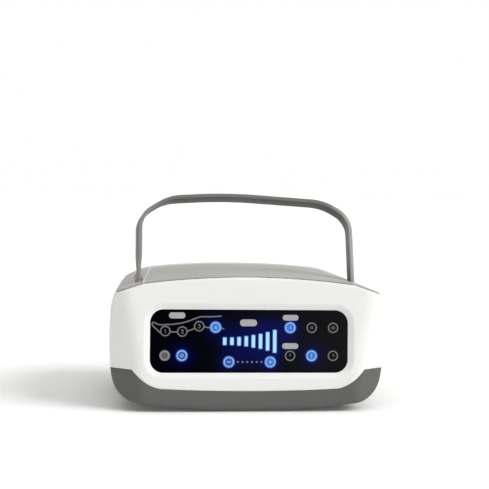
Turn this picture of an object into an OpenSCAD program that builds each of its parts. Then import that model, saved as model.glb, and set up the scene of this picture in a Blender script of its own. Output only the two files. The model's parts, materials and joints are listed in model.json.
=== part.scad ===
// Air compression therapy pump: a table-top unit with a leaning touch panel, a bail handle
// and an air outlet on each side. X is the width, Y runs from the front to the rear, Z is up.
// The origin is on the surface that the feet stand on, under the middle of the case.

/* [Case] */
// Width across the widest part of the cheeks
case_w = 278.2; // [268:0.2:290]
// Depth from the skirt to the rear wall
case_d = 190; // [186:1:206]
// Height of the crown of the top cover
case_h = 133.8; // [130:0.2:142]
// Wall of the moulded shells
wall = 3; // [2.4:0.1:3.6]
// Gap where two shells meet
seam = 0.3; // [0.2:0.05:0.5]
// Width of the level middle of the underside
base_flat_w = 76; // [64:1:96]
// Height of the underside above the surface at its middle
base_lift = 0.5; // [0.4:0.1:1.5]
// How far the underside rises to its lower corners
base_rise = 10.1; // [7:0.1:12]
// Radius of the lower corners, seen from the front
base_r = 28.5; // [22:0.5:32]
// Height of the widest part of the cheeks
widest_z = 76; // [70:1:84]
// How far the shoulders' outer corners lie below the crown
shoulder_drop = 16.8; // [13:0.1:19]
// How far the shoulders lie inside the widest part
shoulder_in = 5.2; // [4:0.1:8]
// How far the crown drops between the middle and the creases
crown_drop = 7.1; // [4:0.1:9]
// How far below the crown the top cover meets the lower housing
cover_drop = 35.8; // [32:0.2:38]
// How far the sides lie inside the widest part, half way back
waist_in = 4.7; // [3:0.1:7]
// How far the rear corners lie inside the widest part
rear_in = 19.7; // [16:0.1:24]
// How far each side of the crown draws in for every millimetre of depth
crown_taper = 0.071; // [0.05:0.001:0.09]
// Radius of the rear edge of the top
rear_r = 22; // [16:1:26]

/* [Front] */
// Lean of the front face, in degrees
front_lean = 6.3; // [4:0.1:8]
// Half the width between the two upright creases
crease_x = 106; // [104.5:0.5:108]
// How far the cheeks sweep back
cheek_sweep = 21; // [16:0.5:24]
// How far the front fascia wraps round the sides
fascia_d = 24; // [21:0.5:28]
// Height of the dark skirt in the middle
skirt_z = 21; // [17:0.5:25]
// Height of the dark skirt at the sides
skirt_side_z = 41.5; // [36:0.5:46]
// Half the width where the skirt's edge starts to rise
skirt_low_x = 84; // [78:1:90]
// Half the width where the skirt's edge has risen
skirt_high_x = 116; // [112:1:122]

/* [Control panel] */
// Width of the glossy window
window_w = 196.6; // [190:0.2:200]
// Height of the glossy window
window_h = 62; // [56:1:64]
// Thickness of the glossy window
window_t = 2.6; // [2:0.1:3]
// Corner radius of the window
window_r = 13; // [8:1:18]
// Height of the window's middle above the surface
window_z = 70; // [67:0.5:73]
// Width of the sloping rim round the window
dish_rim = 6.5; // [4:0.5:7]
// Depth of the sloping rim
dish_depth = 2.4; // [1.6:0.1:3]
// Outer radius of the key rings
key_r = 5.5; // [4.5:0.1:6]
// Width of the line of a key ring
key_line = 1.3; // [0.8:0.1:2]
// Height of the raised print
print_t = 0.25; // [0.2:0.05:0.4]
// Number of level bars
bar_count = 8; // [5:1:8]
// Spacing of the level bars
bar_pitch = 7.1; // [6:0.1:7.4]
// Width of a level bar
bar_w = 3.5; // [2.5:0.1:4]
// Height of the longest level bar
bar_h = 22.8; // [16:0.2:23]

/* [Handle] */
// Width across the outside of the handle
handle_w = 223.4; // [221:0.2:225]
// Distance from the pivots to the top of the handle
handle_reach = 105.6; // [100:0.2:112]
// Height above the pivots at which the arms turn inward
handle_corner = 82; // [76:0.5:86]
// Radius between an arm and its sloping corner
handle_corner_r = 29; // [22:1:34]
// Distance of the top bar's two bends from the middle
handle_bend_x = 82; // [76:1:88]
// Radius of those bends
handle_bend_r = 52; // [40:1:64]
// How far the left bend lies below the top of the handle
handle_left_drop = 4.2; // [2:0.2:6]
// How far the right bend lies below the top of the handle
handle_right_drop = 6.4; // [3:0.2:8]
// Thickness of the band
band_t = 4.5; // [4:0.1:5]
// Width of the band
band_w = 18; // [15:0.5:19]
// Distance of the pivots in front of the middle of the case
pivot_front = 46; // [44:0.5:48]
// How far the pivots lie below the crown
pivot_drop = 21.8; // [20.8:0.2:23.4]
// Lean of the handle at rest, in degrees
handle_lean = 20; // [12:1:26]
// Radius of the pivot pins
pin_r = 4; // [3:0.1:5]
// Free room on each side of an arm in its well
well_gap = 1.6; // [1.4:0.1:2]

/* [Air outlets] */
// Number of air ports on each side
port_count = 4; // [2:1:4]
// Spacing of the air ports
port_pitch = 11; // [9.6:0.2:11.6]
// Radius of an air port
port_r = 3.5; // [2.8:0.1:3.8]
// Length of an air port
port_len = 8; // [6:0.5:9]
// Depth of the recess round the ports
outlet_recess = 6; // [5:0.5:7]
// Height of the outlets
outlet_z = 53; // [50:0.5:55]
// Distance of the outlets behind the middle of the case
outlet_y = 12; // [10:0.5:13]

/* [Rear panel] */
// Width of the rear panel's opening
rear_w = 160; // [152:1:164]
// Height of the rear panel's opening
rear_h = 76; // [72:1:78]
// Size of the square fan
fan_w = 60; // [56:1:62]
// Depth of the fan
fan_t = 15; // [12:0.5:16]
// Distance of the fan from the middle
fan_x = 42; // [40:1:44]
// Distance of the mains inlet from the middle
inlet_x = 52; // [50:1:53]
// Width of the cavity of the mains inlet
inlet_w = 24; // [23:0.1:25]
// Height of the cavity of the mains inlet
inlet_h = 16.5; // [16:0.1:17]
// Depth of the cavity of the mains inlet
inlet_deep = 16; // [15:0.5:17]
// Travel of the fuse drawer
drawer_travel = 12; // [8:0.5:14]
// Height of the power rocker
rocker_h = 17; // [14:0.5:18]
// Width of the power rocker
rocker_w = 11; // [9:0.5:13]
// Tilt of the power rocker between off and on, in degrees
rocker_tilt = 18; // [12:1:20]

/* [Feet and screws] */
// Radius of the rubber feet
foot_r = 9; // [7:0.5:10]
// Height of the rubber feet
foot_h = 3.2; // [3:0.1:4]
// Distance of the feet and posts from the middle, across
post_x = 93; // [91:0.5:94]
// Distance of the front posts in front of the middle
post_front = 49; // [47:1:51]
// Distance of the rear posts behind the middle
post_rear = 72; // [70:0.5:73]
// Outer radius of the screw posts
post_r = 6; // [5.8:0.1:6.4]
// Radius of the screws' shanks
screw_r = 1.9; // [1.6:0.1:2.1]
// Radius of the screws' heads
screw_head_r = 3.5; // [3.2:0.1:3.7]

/* [Air pump] */
// Length of the pump's base
pump_w = 124; // [118:1:128]
// Depth of the pump's base
pump_d = 50; // [48:1:52]
// Distance of the pump behind the skirt
pump_in = 51; // [50.5:0.5:52]
// Height of the pump's air chambers
head_h = 44; // [40:1:46]
// Radius of the diaphragms
diaphragm_r = 19; // [16:0.5:19.5]
// Travel of the armature each way
armature_travel = 1.5; // [0.8:0.1:2]
// Height of the rubber pump mounts
mount_h = 9; // [8:0.5:10]

/* [Air manifold] */
// Length of the manifold
manifold_w = 84; // [80:1:90]
// Thickness of the manifold
manifold_t = 14; // [12:0.5:15]
// Radius of a valve's body
valve_r = 9; // [8:0.5:9.8]
// Height of a valve's body
valve_h = 24; // [22:0.5:26]
// Radius of a valve's plunger
plunger_r = 3.5; // [3:0.1:4]
// Lift of a valve's plunger
plunger_lift = 1.5; // [1:0.1:2]
// Radius of the air tubes
tube_r = 2.7; // [2.2:0.1:3]

/* [Electronics] */
// Width of the main board
board_w = 150; // [140:1:156]
// Depth of the main board
board_d = 72; // [70:1:74]
// Thickness of the boards
board_t = 1.6; // [1.2:0.1:2]
// Height of the main board above the floor
board_gap = 8; // [7.5:0.1:9]

/* [Hidden] */

$fn = 48;

// Colours as the object shows them
shell_white = [0.95, 0.95, 0.94];
shell_grey = [0.72, 0.71, 0.69];
shell_dark = [0.38, 0.385, 0.375];
gloss_black = [0.03, 0.03, 0.05];
lit_blue = [0.35, 0.62, 0.98];
print_grey = [0.55, 0.55, 0.56];
band_grey = [0.5, 0.49, 0.52];
rubber = [0.12, 0.12, 0.12];
steel = [0.72, 0.73, 0.74];
copper = [0.75, 0.42, 0.22];
board_green = [0.1, 0.35, 0.2];

// Case outlines
arc_steps = 6;
big = 400;
front_y = -case_d / 2;
rear_y = case_d / 2;
half_w = case_w / 2;
lean_slope = tan(front_lean);
rear_half_w = half_w - rear_in;
bulge_in = 1.4;
corner_in = 7.7;
inner_floor = base_lift + wall;
shoulder_z = case_h - shoulder_drop;
cover_z = case_h - cover_drop;
lid_x = half_w - corner_in;
taper_angle = atan(crown_taper);
taper_y = front_y + 15;
slit = 0.05;

// Height on the face to the depth of the leaning front
function face_y(z) = front_y + max(0, z - skirt_z) * lean_slope;
function unit(v) = v / norm(v);
// Height of the floor inside, which rises towards the sides and draws in towards the rear
function floor_z(x, y) = inner_floor
    + base_rise * max(0, x + crown_taper * (y - taper_y) - base_flat_w / 2) / (half_w - corner_in - base_flat_w / 2);
function mirrored(list) = concat(list, [for (i = [len(list) - 1:-1:0]) [-list[i][0], list[i][1], list[i][2]]]);

// Arc that rounds the corner b between a and c; a corner is [x, y, radius]
function corner_arc(a, b, c) =
    let (p = [b[0], b[1]], u = unit([a[0], a[1]] - p), v = unit([c[0], c[1]] - p), half = acos(u * v) / 2)
    b[2] == 0 || half > 89.5 ? [p] :
    let (
        centre = p + unit(u + v) * b[2] / sin(half),
        start = p + u * b[2] / tan(half) - centre,
        stop = p + v * b[2] / tan(half) - centre,
        first = atan2(start[1], start[0]),
        turn = (atan2(stop[1], stop[0]) - first + 540) % 360 - 180
    )
    [for (i = [0:arc_steps]) centre + b[2] * [cos(first + turn * i / arc_steps), sin(first + turn * i / arc_steps)]];
function rounded(list) =
    let (n = len(list))
    [for (i = [0:n - 1]) each corner_arc(list[(i + n - 1) % n], list[i], list[(i + 1) % n])];

// Moves every edge of an outline that runs anticlockwise inward by d
function edge_normal(a, b) = let (e = unit([b[0] - a[0], b[1] - a[1]])) [-e[1], e[0]];
function inset(list, d) =
    let (n = len(list))
    [for (i = [0:n - 1])
        let (
            b = list[i],
            n1 = edge_normal(list[(i + n - 1) % n], b),
            n2 = edge_normal(b, list[(i + 1) % n]),
            shift = (n1 + n2) * d / (1 + n1 * n2)
        )
        [b[0] + shift[0], b[1] + shift[1], b[2] == 0 ? 0 : max(b[2] - d, 0.3)]];

crown_steps = 5;
front_right = concat([
    [base_flat_w / 2, base_lift, 100],
    [half_w - corner_in, base_lift + base_rise, base_r],
    [half_w - bulge_in, (base_lift + base_rise + widest_z) / 2, 60],
    [half_w, widest_z, 120],
    [half_w - bulge_in, (widest_z + shoulder_z) / 2 + 3, 25],
    [half_w - shoulder_in, shoulder_z, 8]],
    [for (i = [0:crown_steps - 1])
        let (x = crease_x * (1 - i / crown_steps))
        [x, case_h - crown_drop * pow(x / crease_x, 2), i == 0 ? 30 : 0]]);
front_corners = let (m = mirrored(front_right), h = len(front_right))
    concat([for (i = [0:h - 1]) m[i]], [[0, case_h, 0]], [for (i = [h:2 * h - 1]) m[i]]);
plan_corners = mirrored([
    [crease_x, front_y, 16],
    [half_w + 1, front_y + cheek_sweep, 10],
    [half_w - waist_in, -5, 200],
    [rear_half_w, rear_y, 38]]);
side_corners = [
    [front_y, base_lift, 8],
    [rear_y, base_lift, 8],
    [rear_y, case_h - 1, rear_r],
    [face_y(case_h + 0.6), case_h + 0.6, 5],
    [front_y, skirt_z, 20]];

module along_y(h = big) rotate([90, 0, 0]) linear_extrude(h, center = true) children();
module along_x(h = big) rotate([90, 0, 90]) linear_extrude(h, center = true) children();

// Silhouette from the front, moved inward by d and drawn in towards the rear on both sides
module front_form(d) intersection_for(s = [-1, 1])
    translate([0, taper_y, 0]) rotate([0, 0, s * taper_angle]) along_y() polygon(rounded(inset(front_corners, d)));

// The whole case, with every outline moved inward by d
module case_form(d) intersection() {
    front_form(d);
    linear_extrude(big, center = true) polygon(rounded(inset(plan_corners, d)));
    along_x() polygon(rounded(inset(side_corners, d)));
}
module case_shell() difference() {
    case_form(0);
    case_form(wall);
}

// Edge between the skirt and the fascia, from left to right, moved up by d
skirt_bow = 2;
function skirt_edge(x) = skirt_z + skirt_bow * pow(min(abs(x), skirt_low_x) / skirt_low_x, 2)
    + (skirt_side_z - skirt_z - skirt_bow)
    * pow(min(1, max(0, abs(x) - skirt_low_x) / (skirt_high_x - skirt_low_x)), 2);
skirt_xs = concat([for (i = [0:9]) skirt_high_x - (skirt_high_x - skirt_low_x) * i / 8], [50, 0]);
skirt_points = concat([for (x = skirt_xs) [-x, skirt_edge(x)]],
    [for (i = [len(skirt_xs) - 2:-1:0]) [skirt_xs[i], skirt_edge(skirt_xs[i])]]);
module below_skirt(d) along_y() polygon(concat([[-half_w - 9, -9], [-half_w - 9, skirt_side_z + d]],
    [for (p = skirt_points) [p[0], p[1] + d]], [[half_w + 9, skirt_side_z + d], [half_w + 9, -9]]));

// Room behind the fascia's rear edge, moved back by d
module behind_fascia(d, low, high) along_x() polygon([
    [front_y + (low - skirt_z) * lean_slope + fascia_d + d, low],
    [rear_y + 9, low],
    [rear_y + 9, high],
    [front_y + (high - skirt_z) * lean_slope + fascia_d + d, high]]);

// Strip of the top cover that reaches forward over the fascia
module under_strip(d) union() {
    front_form(d);
    for (s = [-1, 1]) translate([s * (lid_x + big / 2 + (d - wall)), 0, 0]) cube(big, center = true);
    translate([0, 0, shoulder_z - 9 - big / 2 + (wall - d)]) cube(big, center = true);
}

// Frame on the leaning face: x across, y up the face, z outward
module on_face(up = 0, out = 0)
    translate([0, face_y(window_z), window_z]) rotate([90 - front_lean, 0, 0]) translate([0, up, out]) children();
function pill(w, h, r) = rounded([[-w / 2, -h / 2, r], [w / 2, -h / 2, r], [w / 2, h / 2, r], [-w / 2, h / 2, r]]);
module plate(w, h, r, t) linear_extrude(t) polygon(pill(w, h, r));

// Bores and posts that repeat
module each_post() for (x = [-post_x, post_x], y = [-post_front, post_rear]) translate([x, y, 0]) children();
module side(s) mirror([s < 0 ? 1 : 0, 0, 0]) children();
module ring(r_out, r_in, h) difference() {
    cylinder(r = r_out, h = h);
    translate([0, 0, -1]) cylinder(r = r_in, h = h + 2);
}

// ---- Shells ----
dish_w = window_w + 2 * dish_rim;
dish_h = window_h + 2 * dish_rim;
ledge = 5;
seat_out = -dish_depth - window_t;
frame_back = seat_out - 2.4;
boss_x = window_w / 2 - 9;
boss_y = window_h / 2 + 6;
display_out = -16;
display_boss_r = 3.2;

module dish_cut() hull() {
    on_face(0, 0.5) plate(dish_w + 2 * dish_rim * 0.5 / dish_depth, dish_h + 2 * dish_rim * 0.5 / dish_depth,
        window_r + dish_rim, 0.01);
    on_face(0, -dish_depth) plate(window_w + 2 * slit + 0.4, window_h + 2 * slit + 0.4, window_r, 0.01);
}
module fascia_skin() difference() {
    case_shell();
    behind_fascia(-seam, -9, big / 2);
    below_skirt(seam);
    difference() {
        translate([0, 0, big / 2 + shoulder_z - 20]) cube(big, center = true);
        under_strip(wall + seam);
    }
}
module front_fascia() color(shell_white) difference() {
    union() {
        fascia_skin();
        intersection() {
            case_form(wall / 2);
            on_face(0, frame_back) plate(dish_w + 3, dish_h + 3, window_r + dish_rim, -frame_back);
        }
        for (x = [-boss_x, boss_x], y = [-boss_y, boss_y])
            on_face(y, display_out + seam) translate([x, 0, 0]) cylinder(r = display_boss_r, h = -display_out - wall);
    }
    dish_cut();
    on_face(0, seat_out) plate(window_w + 0.4, window_h + 0.4, window_r, big / 20);
    on_face(0, frame_back - 1) plate(window_w - 2 * ledge, window_h - 2 * ledge, window_r - ledge, big / 20);
    for (x = [-boss_x, boss_x], y = [-boss_y, boss_y])
        on_face(y, display_out - 1) translate([x, 0, 0]) cylinder(r = 1.1, h = 9);
}

// Wells for the handle's arms
pivot_z = case_h - pivot_drop;
arm_mid = handle_w / 2 - band_t / 2;
well_w = band_t + 2 * well_gap;
well_wall = 2;
back_swing = 51;
steepest = handle_lean + back_swing;
arm_under_back = band_w / 2 + 2.5;
well_floor = pivot_z - band_w / 2 - 2.5;
well_outline = [
    [-pivot_front - band_w / 2 - 3, case_h + 7, 0],
    [-pivot_front - band_w / 2 - 3, well_floor, 0],
    [-pivot_front + 4, well_floor, 0],
    [-pivot_front + 74, pivot_z + 74 / tan(steepest + 3) - arm_under_back, 0],
    [-pivot_front + 78, case_h + 7, 0]];
module well_form(grow, w) translate([arm_mid, 0, 0])
    along_x(w) polygon([for (p = inset(well_outline, -grow)) [p[0], p[1]]]);

module top_cover() color(shell_grey) difference() {
    union() {
        difference() {
            case_shell();
            difference() {
                translate([0, 0, -big / 2 + case_h + 9]) cube(big, center = true);
                behind_fascia(0, cover_z, case_h + 9);
                difference() {
                    translate([0, 0, big / 2 + shoulder_z - 9]) cube(big, center = true);
                    under_strip(wall);
                }
            }
        }
        intersection() {
            case_form(wall / 2);
            for (s = [-1, 1]) side(s) well_form(well_wall, well_w + 2 * well_wall);
        }
        each_post() translate([0, 0, cover_z + seam]) cylinder(r = post_r, h = case_h - 16 - cover_z);
        intersection() {
            case_form(wall / 2);
            each_post() translate([0, 0, cover_z + seam]) cylinder(r = post_r, h = case_h - cover_z);
        }
    }
    for (s = [-1, 1]) side(s) {
        well_form(0, well_w);
        translate([arm_mid - well_w, -pivot_front, pivot_z]) rotate([0, 90, 0])
            cylinder(r = pin_r + 0.02, h = 2 * well_w);
    }
    each_post() translate([0, 0, cover_z - 1]) cylinder(r = screw_r + 0.02, h = 12);
}

// Side outlets: a flat pad inside the slanting wall carries the socket
pad_x = half_w - 15.7;
pad_w = 68;
pad_h = 40;
block_w = (port_count - 1) * port_pitch + 23;
block_h = 28;
outlet_out = half_w - 4;
flange = 4;
gasket_t = 1;
module on_outlet(x) translate([x, outlet_y, outlet_z]) rotate([90, 0, 90]) children();
module each_port() for (i = [0:port_count - 1]) translate([(i - (port_count - 1) / 2) * port_pitch, 0, 0]) children();

// Rear opening and panel
panel_y = rear_y - wall;
panel_t = 3;
panel_z = 52;
panel_w = rear_w + 8;
panel_h = rear_h + 8;
module on_rear(x, z, y = panel_y) translate([x, y, z]) rotate([90, 0, 0]) mirror([0, 0, 1]) children();

foot_pad_r = foot_r + 1.5;
foot_x = 44;
foot_front = 60;
foot_rear = 66;
foot_seat = foot_h - 0.4;
module each_foot() for (x = [-foot_x, foot_x], y = [-foot_front, foot_rear]) translate([x, y, 0]) children();
stud_r = 3;
head_z = cover_z - 16;
board_z = inner_floor + board_gap;
board_y = 26;
board_hole_x = board_w / 2 - 5;
board_hole_y = board_d / 2 - 5;
pump_hole_x = pump_w / 2 - 7;
pump_hole_y = pump_d / 2 - 7;
pump_front = case_d / 2 - pump_in;
pump_seat = floor_z(pump_hole_x + 6, pump_hole_y + 6 - pump_front) + 0.2;
pump_z = pump_seat + mount_h;
in_floor = 1.5;
pump_foot_z = floor_z(pump_hole_x, -pump_front) - in_floor;
board_foot_z = floor_z(board_hole_x, board_y) - in_floor;
manifold_z = outlet_z - manifold_t / 2;

module lower_housing() color(shell_dark) difference() {
    union() {
        intersection() {
            case_shell();
            union() {
                below_skirt(0);
                behind_fascia(0, -9, cover_z);
            }
        }
        intersection() {
            case_form(wall / 2);
            union() {
                for (s = [-1, 1]) side(s) translate([pad_x, outlet_y - pad_w / 2, outlet_z - pad_h / 2])
                    cube([half_w, pad_w, pad_h]);
                each_post() cylinder(r = post_r, h = cover_z);
            }
        }
        each_foot() translate([0, 0, foot_seat]) cylinder(r = foot_pad_r, h = floor_z(foot_x, 0) + 1 - foot_h);
        for (x = [-board_hole_x, board_hole_x], y = [-board_hole_y, board_hole_y])
            translate([x, board_y + y, board_foot_z]) ring(3.2, 1.2, board_z - board_foot_z);
        for (x = [-pump_hole_x, pump_hole_x], y = [-pump_hole_y, pump_hole_y])
            translate([x, y - pump_front, pump_foot_z]) {
                cylinder(r = 7, h = pump_seat - pump_foot_z);
                cylinder(r = 2, h = pump_seat - pump_foot_z + 4);
            }
    }
    for (s = [-1, 1]) side(s) on_outlet(pad_x - 1) plate(block_w + 0.4, block_h + 0.4, 6.2, 30);
    on_rear(0, panel_z, panel_y - 1) plate(rear_w, rear_h, 6, 9);
    each_post() {
        translate([0, 0, -1]) cylinder(r = screw_head_r + 0.7, h = head_z + 1);
        cylinder(r = screw_r + 0.2, h = cover_z + 1);
    }
    each_foot() {
        translate([0, 0, -1]) cylinder(r = foot_r + 0.3, h = foot_seat + 1);
        cylinder(r = stud_r + 0.02, h = floor_z(foot_x, 0) + 4);
    }
}

// ---- Control panel ----
module control_window() color(gloss_black) on_face(0, seat_out) plate(window_w, window_h, window_r, window_t);
module on_window(x, y) on_face(y, -dish_depth) translate([x, 0, 0]) children();

// Places of the touch keys from the window's middle
program_keys = [[-83.5, 9.8], [-66.8, 9.4], [-50.2, 14.7], [-34, 13.7]];
power_keys = [[-83.8, -14.1], [-67, -14.1]];
level_keys = [[-20.6, -20.4], [20.6, -20.4]];
mode_keys = [[40.3, 13.6], [61.9, 13.6], [83.4, 13.6]];
time_keys = [[40.3, -14.2], [61.9, -14.2], [83.4, -14.2]];
touch_keys = concat(program_keys, power_keys, level_keys, mode_keys, time_keys);
lit_keys = [program_keys[3], power_keys[1], level_keys[0], level_keys[1], mode_keys[0], time_keys[1]];

module key_rings() color(print_grey) for (p = touch_keys)
    on_window(p[0], p[1]) ring(key_r, key_r - key_line, print_t);
module key_signs() color(lit_blue) for (p = lit_keys)
    on_window(p[0], p[1]) cylinder(r = key_r - key_line - 1.4, h = print_t);
// The bars grow from a third of the longest to the longest
function bar_length(i) = let (t = i / (bar_count - 1)) bar_h * (0.33 + 0.67 * pow(t, 2));
module level_bars() color(lit_blue) for (i = [0:bar_count - 1])
    on_window((i - (bar_count - 1) / 2) * bar_pitch, 0) plate(bar_w, bar_length(i), 0.3, print_t);
labels = [[-72.2, 25.4, 17.3, 6.6], [-1.4, 18.2, 17.9, 7.2], [40.6, 23.4, 16.8, 6.2], [40.4, -4.6, 17.2, 6.2]];
module label_plates() color(print_grey) {
    for (p = labels) on_window(p[0], p[1]) plate(p[2], p[3], p[3] / 2 - 0.1, print_t);
    for (i = [-2.5:2.5]) on_window(i * 4.66, level_keys[0][1]) cylinder(r = 1.2, h = print_t);
}
// Line of a lying leg above the program keys
leg_line = [[-95.2, 18.7], [-89.5, 16.2], [-75.3, 16.9], [-58.8, 21.2], [-46, 24.2], [-28.6, 24.6]];
leg_line_t = 0.9;
module leg_sign() color(print_grey) for (i = [0:len(leg_line) - 2])
    let (a = leg_line[i], b = leg_line[i + 1], d = b - a)
    on_window(a[0], a[1]) rotate([0, 0, atan2(d[1], d[0])]) translate([0, -leg_line_t / 2, 0])
        cube([norm(d), leg_line_t, print_t]);

module display_board() color(board_green) difference() {
    on_face(0, display_out - board_t) plate(window_w - 6, window_h + 18, 3, board_t);
    for (x = [-boss_x, boss_x], y = [-boss_y, boss_y])
        on_face(y, display_out - board_t - 1) translate([x, 0, 0]) cylinder(r = 1.4, h = board_t + 2);
}
light_gap = 1;
module panel_lights() color([0.85, 0.9, 1]) {
    for (i = [0:bar_count - 1]) on_face(0, display_out) translate([(i - (bar_count - 1) / 2) * bar_pitch, 0, 0])
        translate([-bar_w / 2, -bar_h / 2, 0]) cube([bar_w, bar_h, seat_out - display_out - light_gap]);
    for (p = lit_keys) on_face(p[1], display_out) translate([p[0] - 1.5, -1.5, 0]) cube([3, 3, 2]);
}
module touch_springs() color(steel) for (p = touch_keys)
    on_face(p[1], display_out) translate([p[0], 0, 0]) ring(4.4, 3.6, seat_out - display_out - 0.2);

// ---- Handle ----
handle_top_x = -20;
handle_corners = [
    [-handle_w / 2, 0, 0],
    [handle_w / 2, 0, 0],
    [handle_w / 2, handle_corner, handle_corner_r],
    [handle_bend_x, handle_reach - handle_right_drop, handle_bend_r],
    [handle_top_x, handle_reach, 500],
    [-handle_bend_x, handle_reach - handle_left_drop, handle_bend_r],
    [-handle_w / 2, handle_corner, handle_corner_r]];
handle_inner = [for (p = inset(handle_corners, band_t)) [p[0], p[1] < band_t + 1 ? -1 : p[1], p[2]]];
module on_pivot() translate([0, -pivot_front, pivot_z]) rotate([90 - handle_lean, 0, 0]) children();
module carry_handle() color(band_grey) on_pivot() difference() {
    union() {
        linear_extrude(band_w, center = true) difference() {
            polygon(rounded(handle_corners));
            polygon(rounded(handle_inner));
        }
        for (s = [-1, 1]) translate([s * arm_mid, 0, 0]) rotate([0, 90, 0])
            cylinder(r = band_w / 2, h = band_t, center = true);
    }
    rotate([0, 90, 0]) cylinder(r = pin_r + 0.05, h = big, center = true);
}
module on_pin(s, x) translate([0, -pivot_front, pivot_z]) side(s) translate([x, 0, 0]) rotate([0, 90, 0]) children();
pin_start = arm_mid - well_w / 2 - well_wall;
module pivot_pins() color(steel) for (s = [-1, 1]) on_pin(s, pin_start) {
    cylinder(r = pin_r, h = well_w + 2 * well_wall + 1.5);
    translate([0, 0, -1.8]) cylinder(r = pin_r + 2, h = 1.8);
}
module handle_washers() color(shell_dark) for (s = [-1, 1])
    on_pin(s, arm_mid - well_w / 2 + 0.1) ring(band_w / 2 - 1.5, pin_r + 0.05, well_gap - 0.2);

// ---- Air outlets ----
recess_w = (port_count - 1) * port_pitch + 17;
recess_h = 22;
flange_t = 2;
module outlet(s) color(shell_dark) side(s) difference() {
    union() {
        on_outlet(pad_x - gasket_t) plate(block_w, block_h, 6, outlet_out - pad_x + gasket_t);
        on_outlet(pad_x - gasket_t - flange_t) plate(block_w + 2 * flange, block_h + 2 * flange, 6, flange_t);
    }
    on_outlet(outlet_out - outlet_recess) plate(recess_w, recess_h, 4, big / 20);
    on_outlet(port_floor) each_port() cylinder(r = port_r, h = port_len + 1);
    on_outlet(pad_x - 9) each_port() cylinder(r = port_r - 1.2, h = 30);
}
module left_outlet() outlet(-1);
module right_outlet() outlet(1);
module gasket(s) color(rubber) side(s) on_outlet(pad_x - gasket_t + slit) difference() {
    plate(block_w + 2 * flange - 0.5, block_h + 2 * flange - 0.5, 6, gasket_t - 2 * slit);
    translate([0, 0, -1]) plate(block_w + 0.3, block_h + 0.3, 6.1, gasket_t + 2);
}
module left_gasket() gasket(-1);
module right_gasket() gasket(1);

barb_len = 8;
barb_x = pad_x - gasket_t - flange_t;
port_floor = outlet_out - outlet_recess - port_len;
manifold_d = (port_count - 1) * port_pitch + 11;
module outlet_barbs() color(steel) for (s = [-1, 1]) side(s) {
    on_outlet(barb_x - barb_len) each_port() ring(port_r - 1.4, port_r - 2, port_floor - slit - barb_x + barb_len);
    on_outlet(manifold_w / 2 - 1) each_port() ring(port_r - 1.4, port_r - 2, barb_len + 1);
}
module air_tubes() color([0.85, 0.87, 0.86, 0.6]) for (s = [-1, 1]) side(s)
    on_outlet(manifold_w / 2 + 0.3) each_port() ring(tube_r, port_r - 1.35, barb_x - manifold_w / 2 - 0.6);

// ---- Rear panel ----
slot_w = 2.4;
slot_count = 10;
slot_pitch = 5;
inlet_z = 42;
inlet_out = 2.4;
inlet_body_w = inlet_w + 3.4;
inlet_body_h = inlet_h + 16;
inlet_len = inlet_deep + 10;
inlet_up = 6;
inlet_screw_x = 20;
drawer_w = inlet_w - 1.4;
drawer_h = 8.4;
drawer_len = drawer_travel + 6;
drawer_up = inlet_h / 2 + drawer_h / 2 + 1.6;
switch_x = 14;
switch_z = 46;
switch_w = rocker_w + 4;
switch_h = rocker_h + 4;
switch_len = 16;
fan_r = fan_w / 2 - 2;
rear_screw_r = 1.5;
rear_head_r = 2.7;
fan_hole = fan_w / 2 - 5;
module each_fan_hole() for (x = [-1, 1], z = [-1, 1]) on_rear(fan_x + x * fan_hole, panel_z + z * fan_hole, 0) children();
module each_inlet_hole() for (s = [-1, 1]) on_rear(s * inlet_screw_x - inlet_x, inlet_z, 0) children();

module rear_panel() color(shell_dark) difference() {
    on_rear(0, panel_z, panel_y - panel_t - seam) plate(panel_w, panel_h, 6, panel_t);
    on_rear(-inlet_x, inlet_z + inlet_up, panel_y - 9) plate(inlet_body_w + 0.4, inlet_body_h + 0.4, 1, 20);
    on_rear(-switch_x, switch_z, panel_y - 9) plate(switch_w - 2 + 0.4, switch_h - 2 + 0.4, 1, 20);
    intersection() {
        on_rear(fan_x, panel_z, panel_y - 9) cylinder(r = fan_r - 1, h = 20);
        for (i = [0:slot_count - 1])
            on_rear(fan_x, panel_z + (i - (slot_count - 1) / 2) * slot_pitch, panel_y - 9)
                plate(2 * fan_r, slot_w, slot_w / 2 - 0.05, 20);
    }
    each_inlet_hole() cylinder(r = rear_screw_r + 0.1, h = big);
    each_fan_hole() cylinder(r = rear_screw_r + 0.1, h = big);
}
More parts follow.
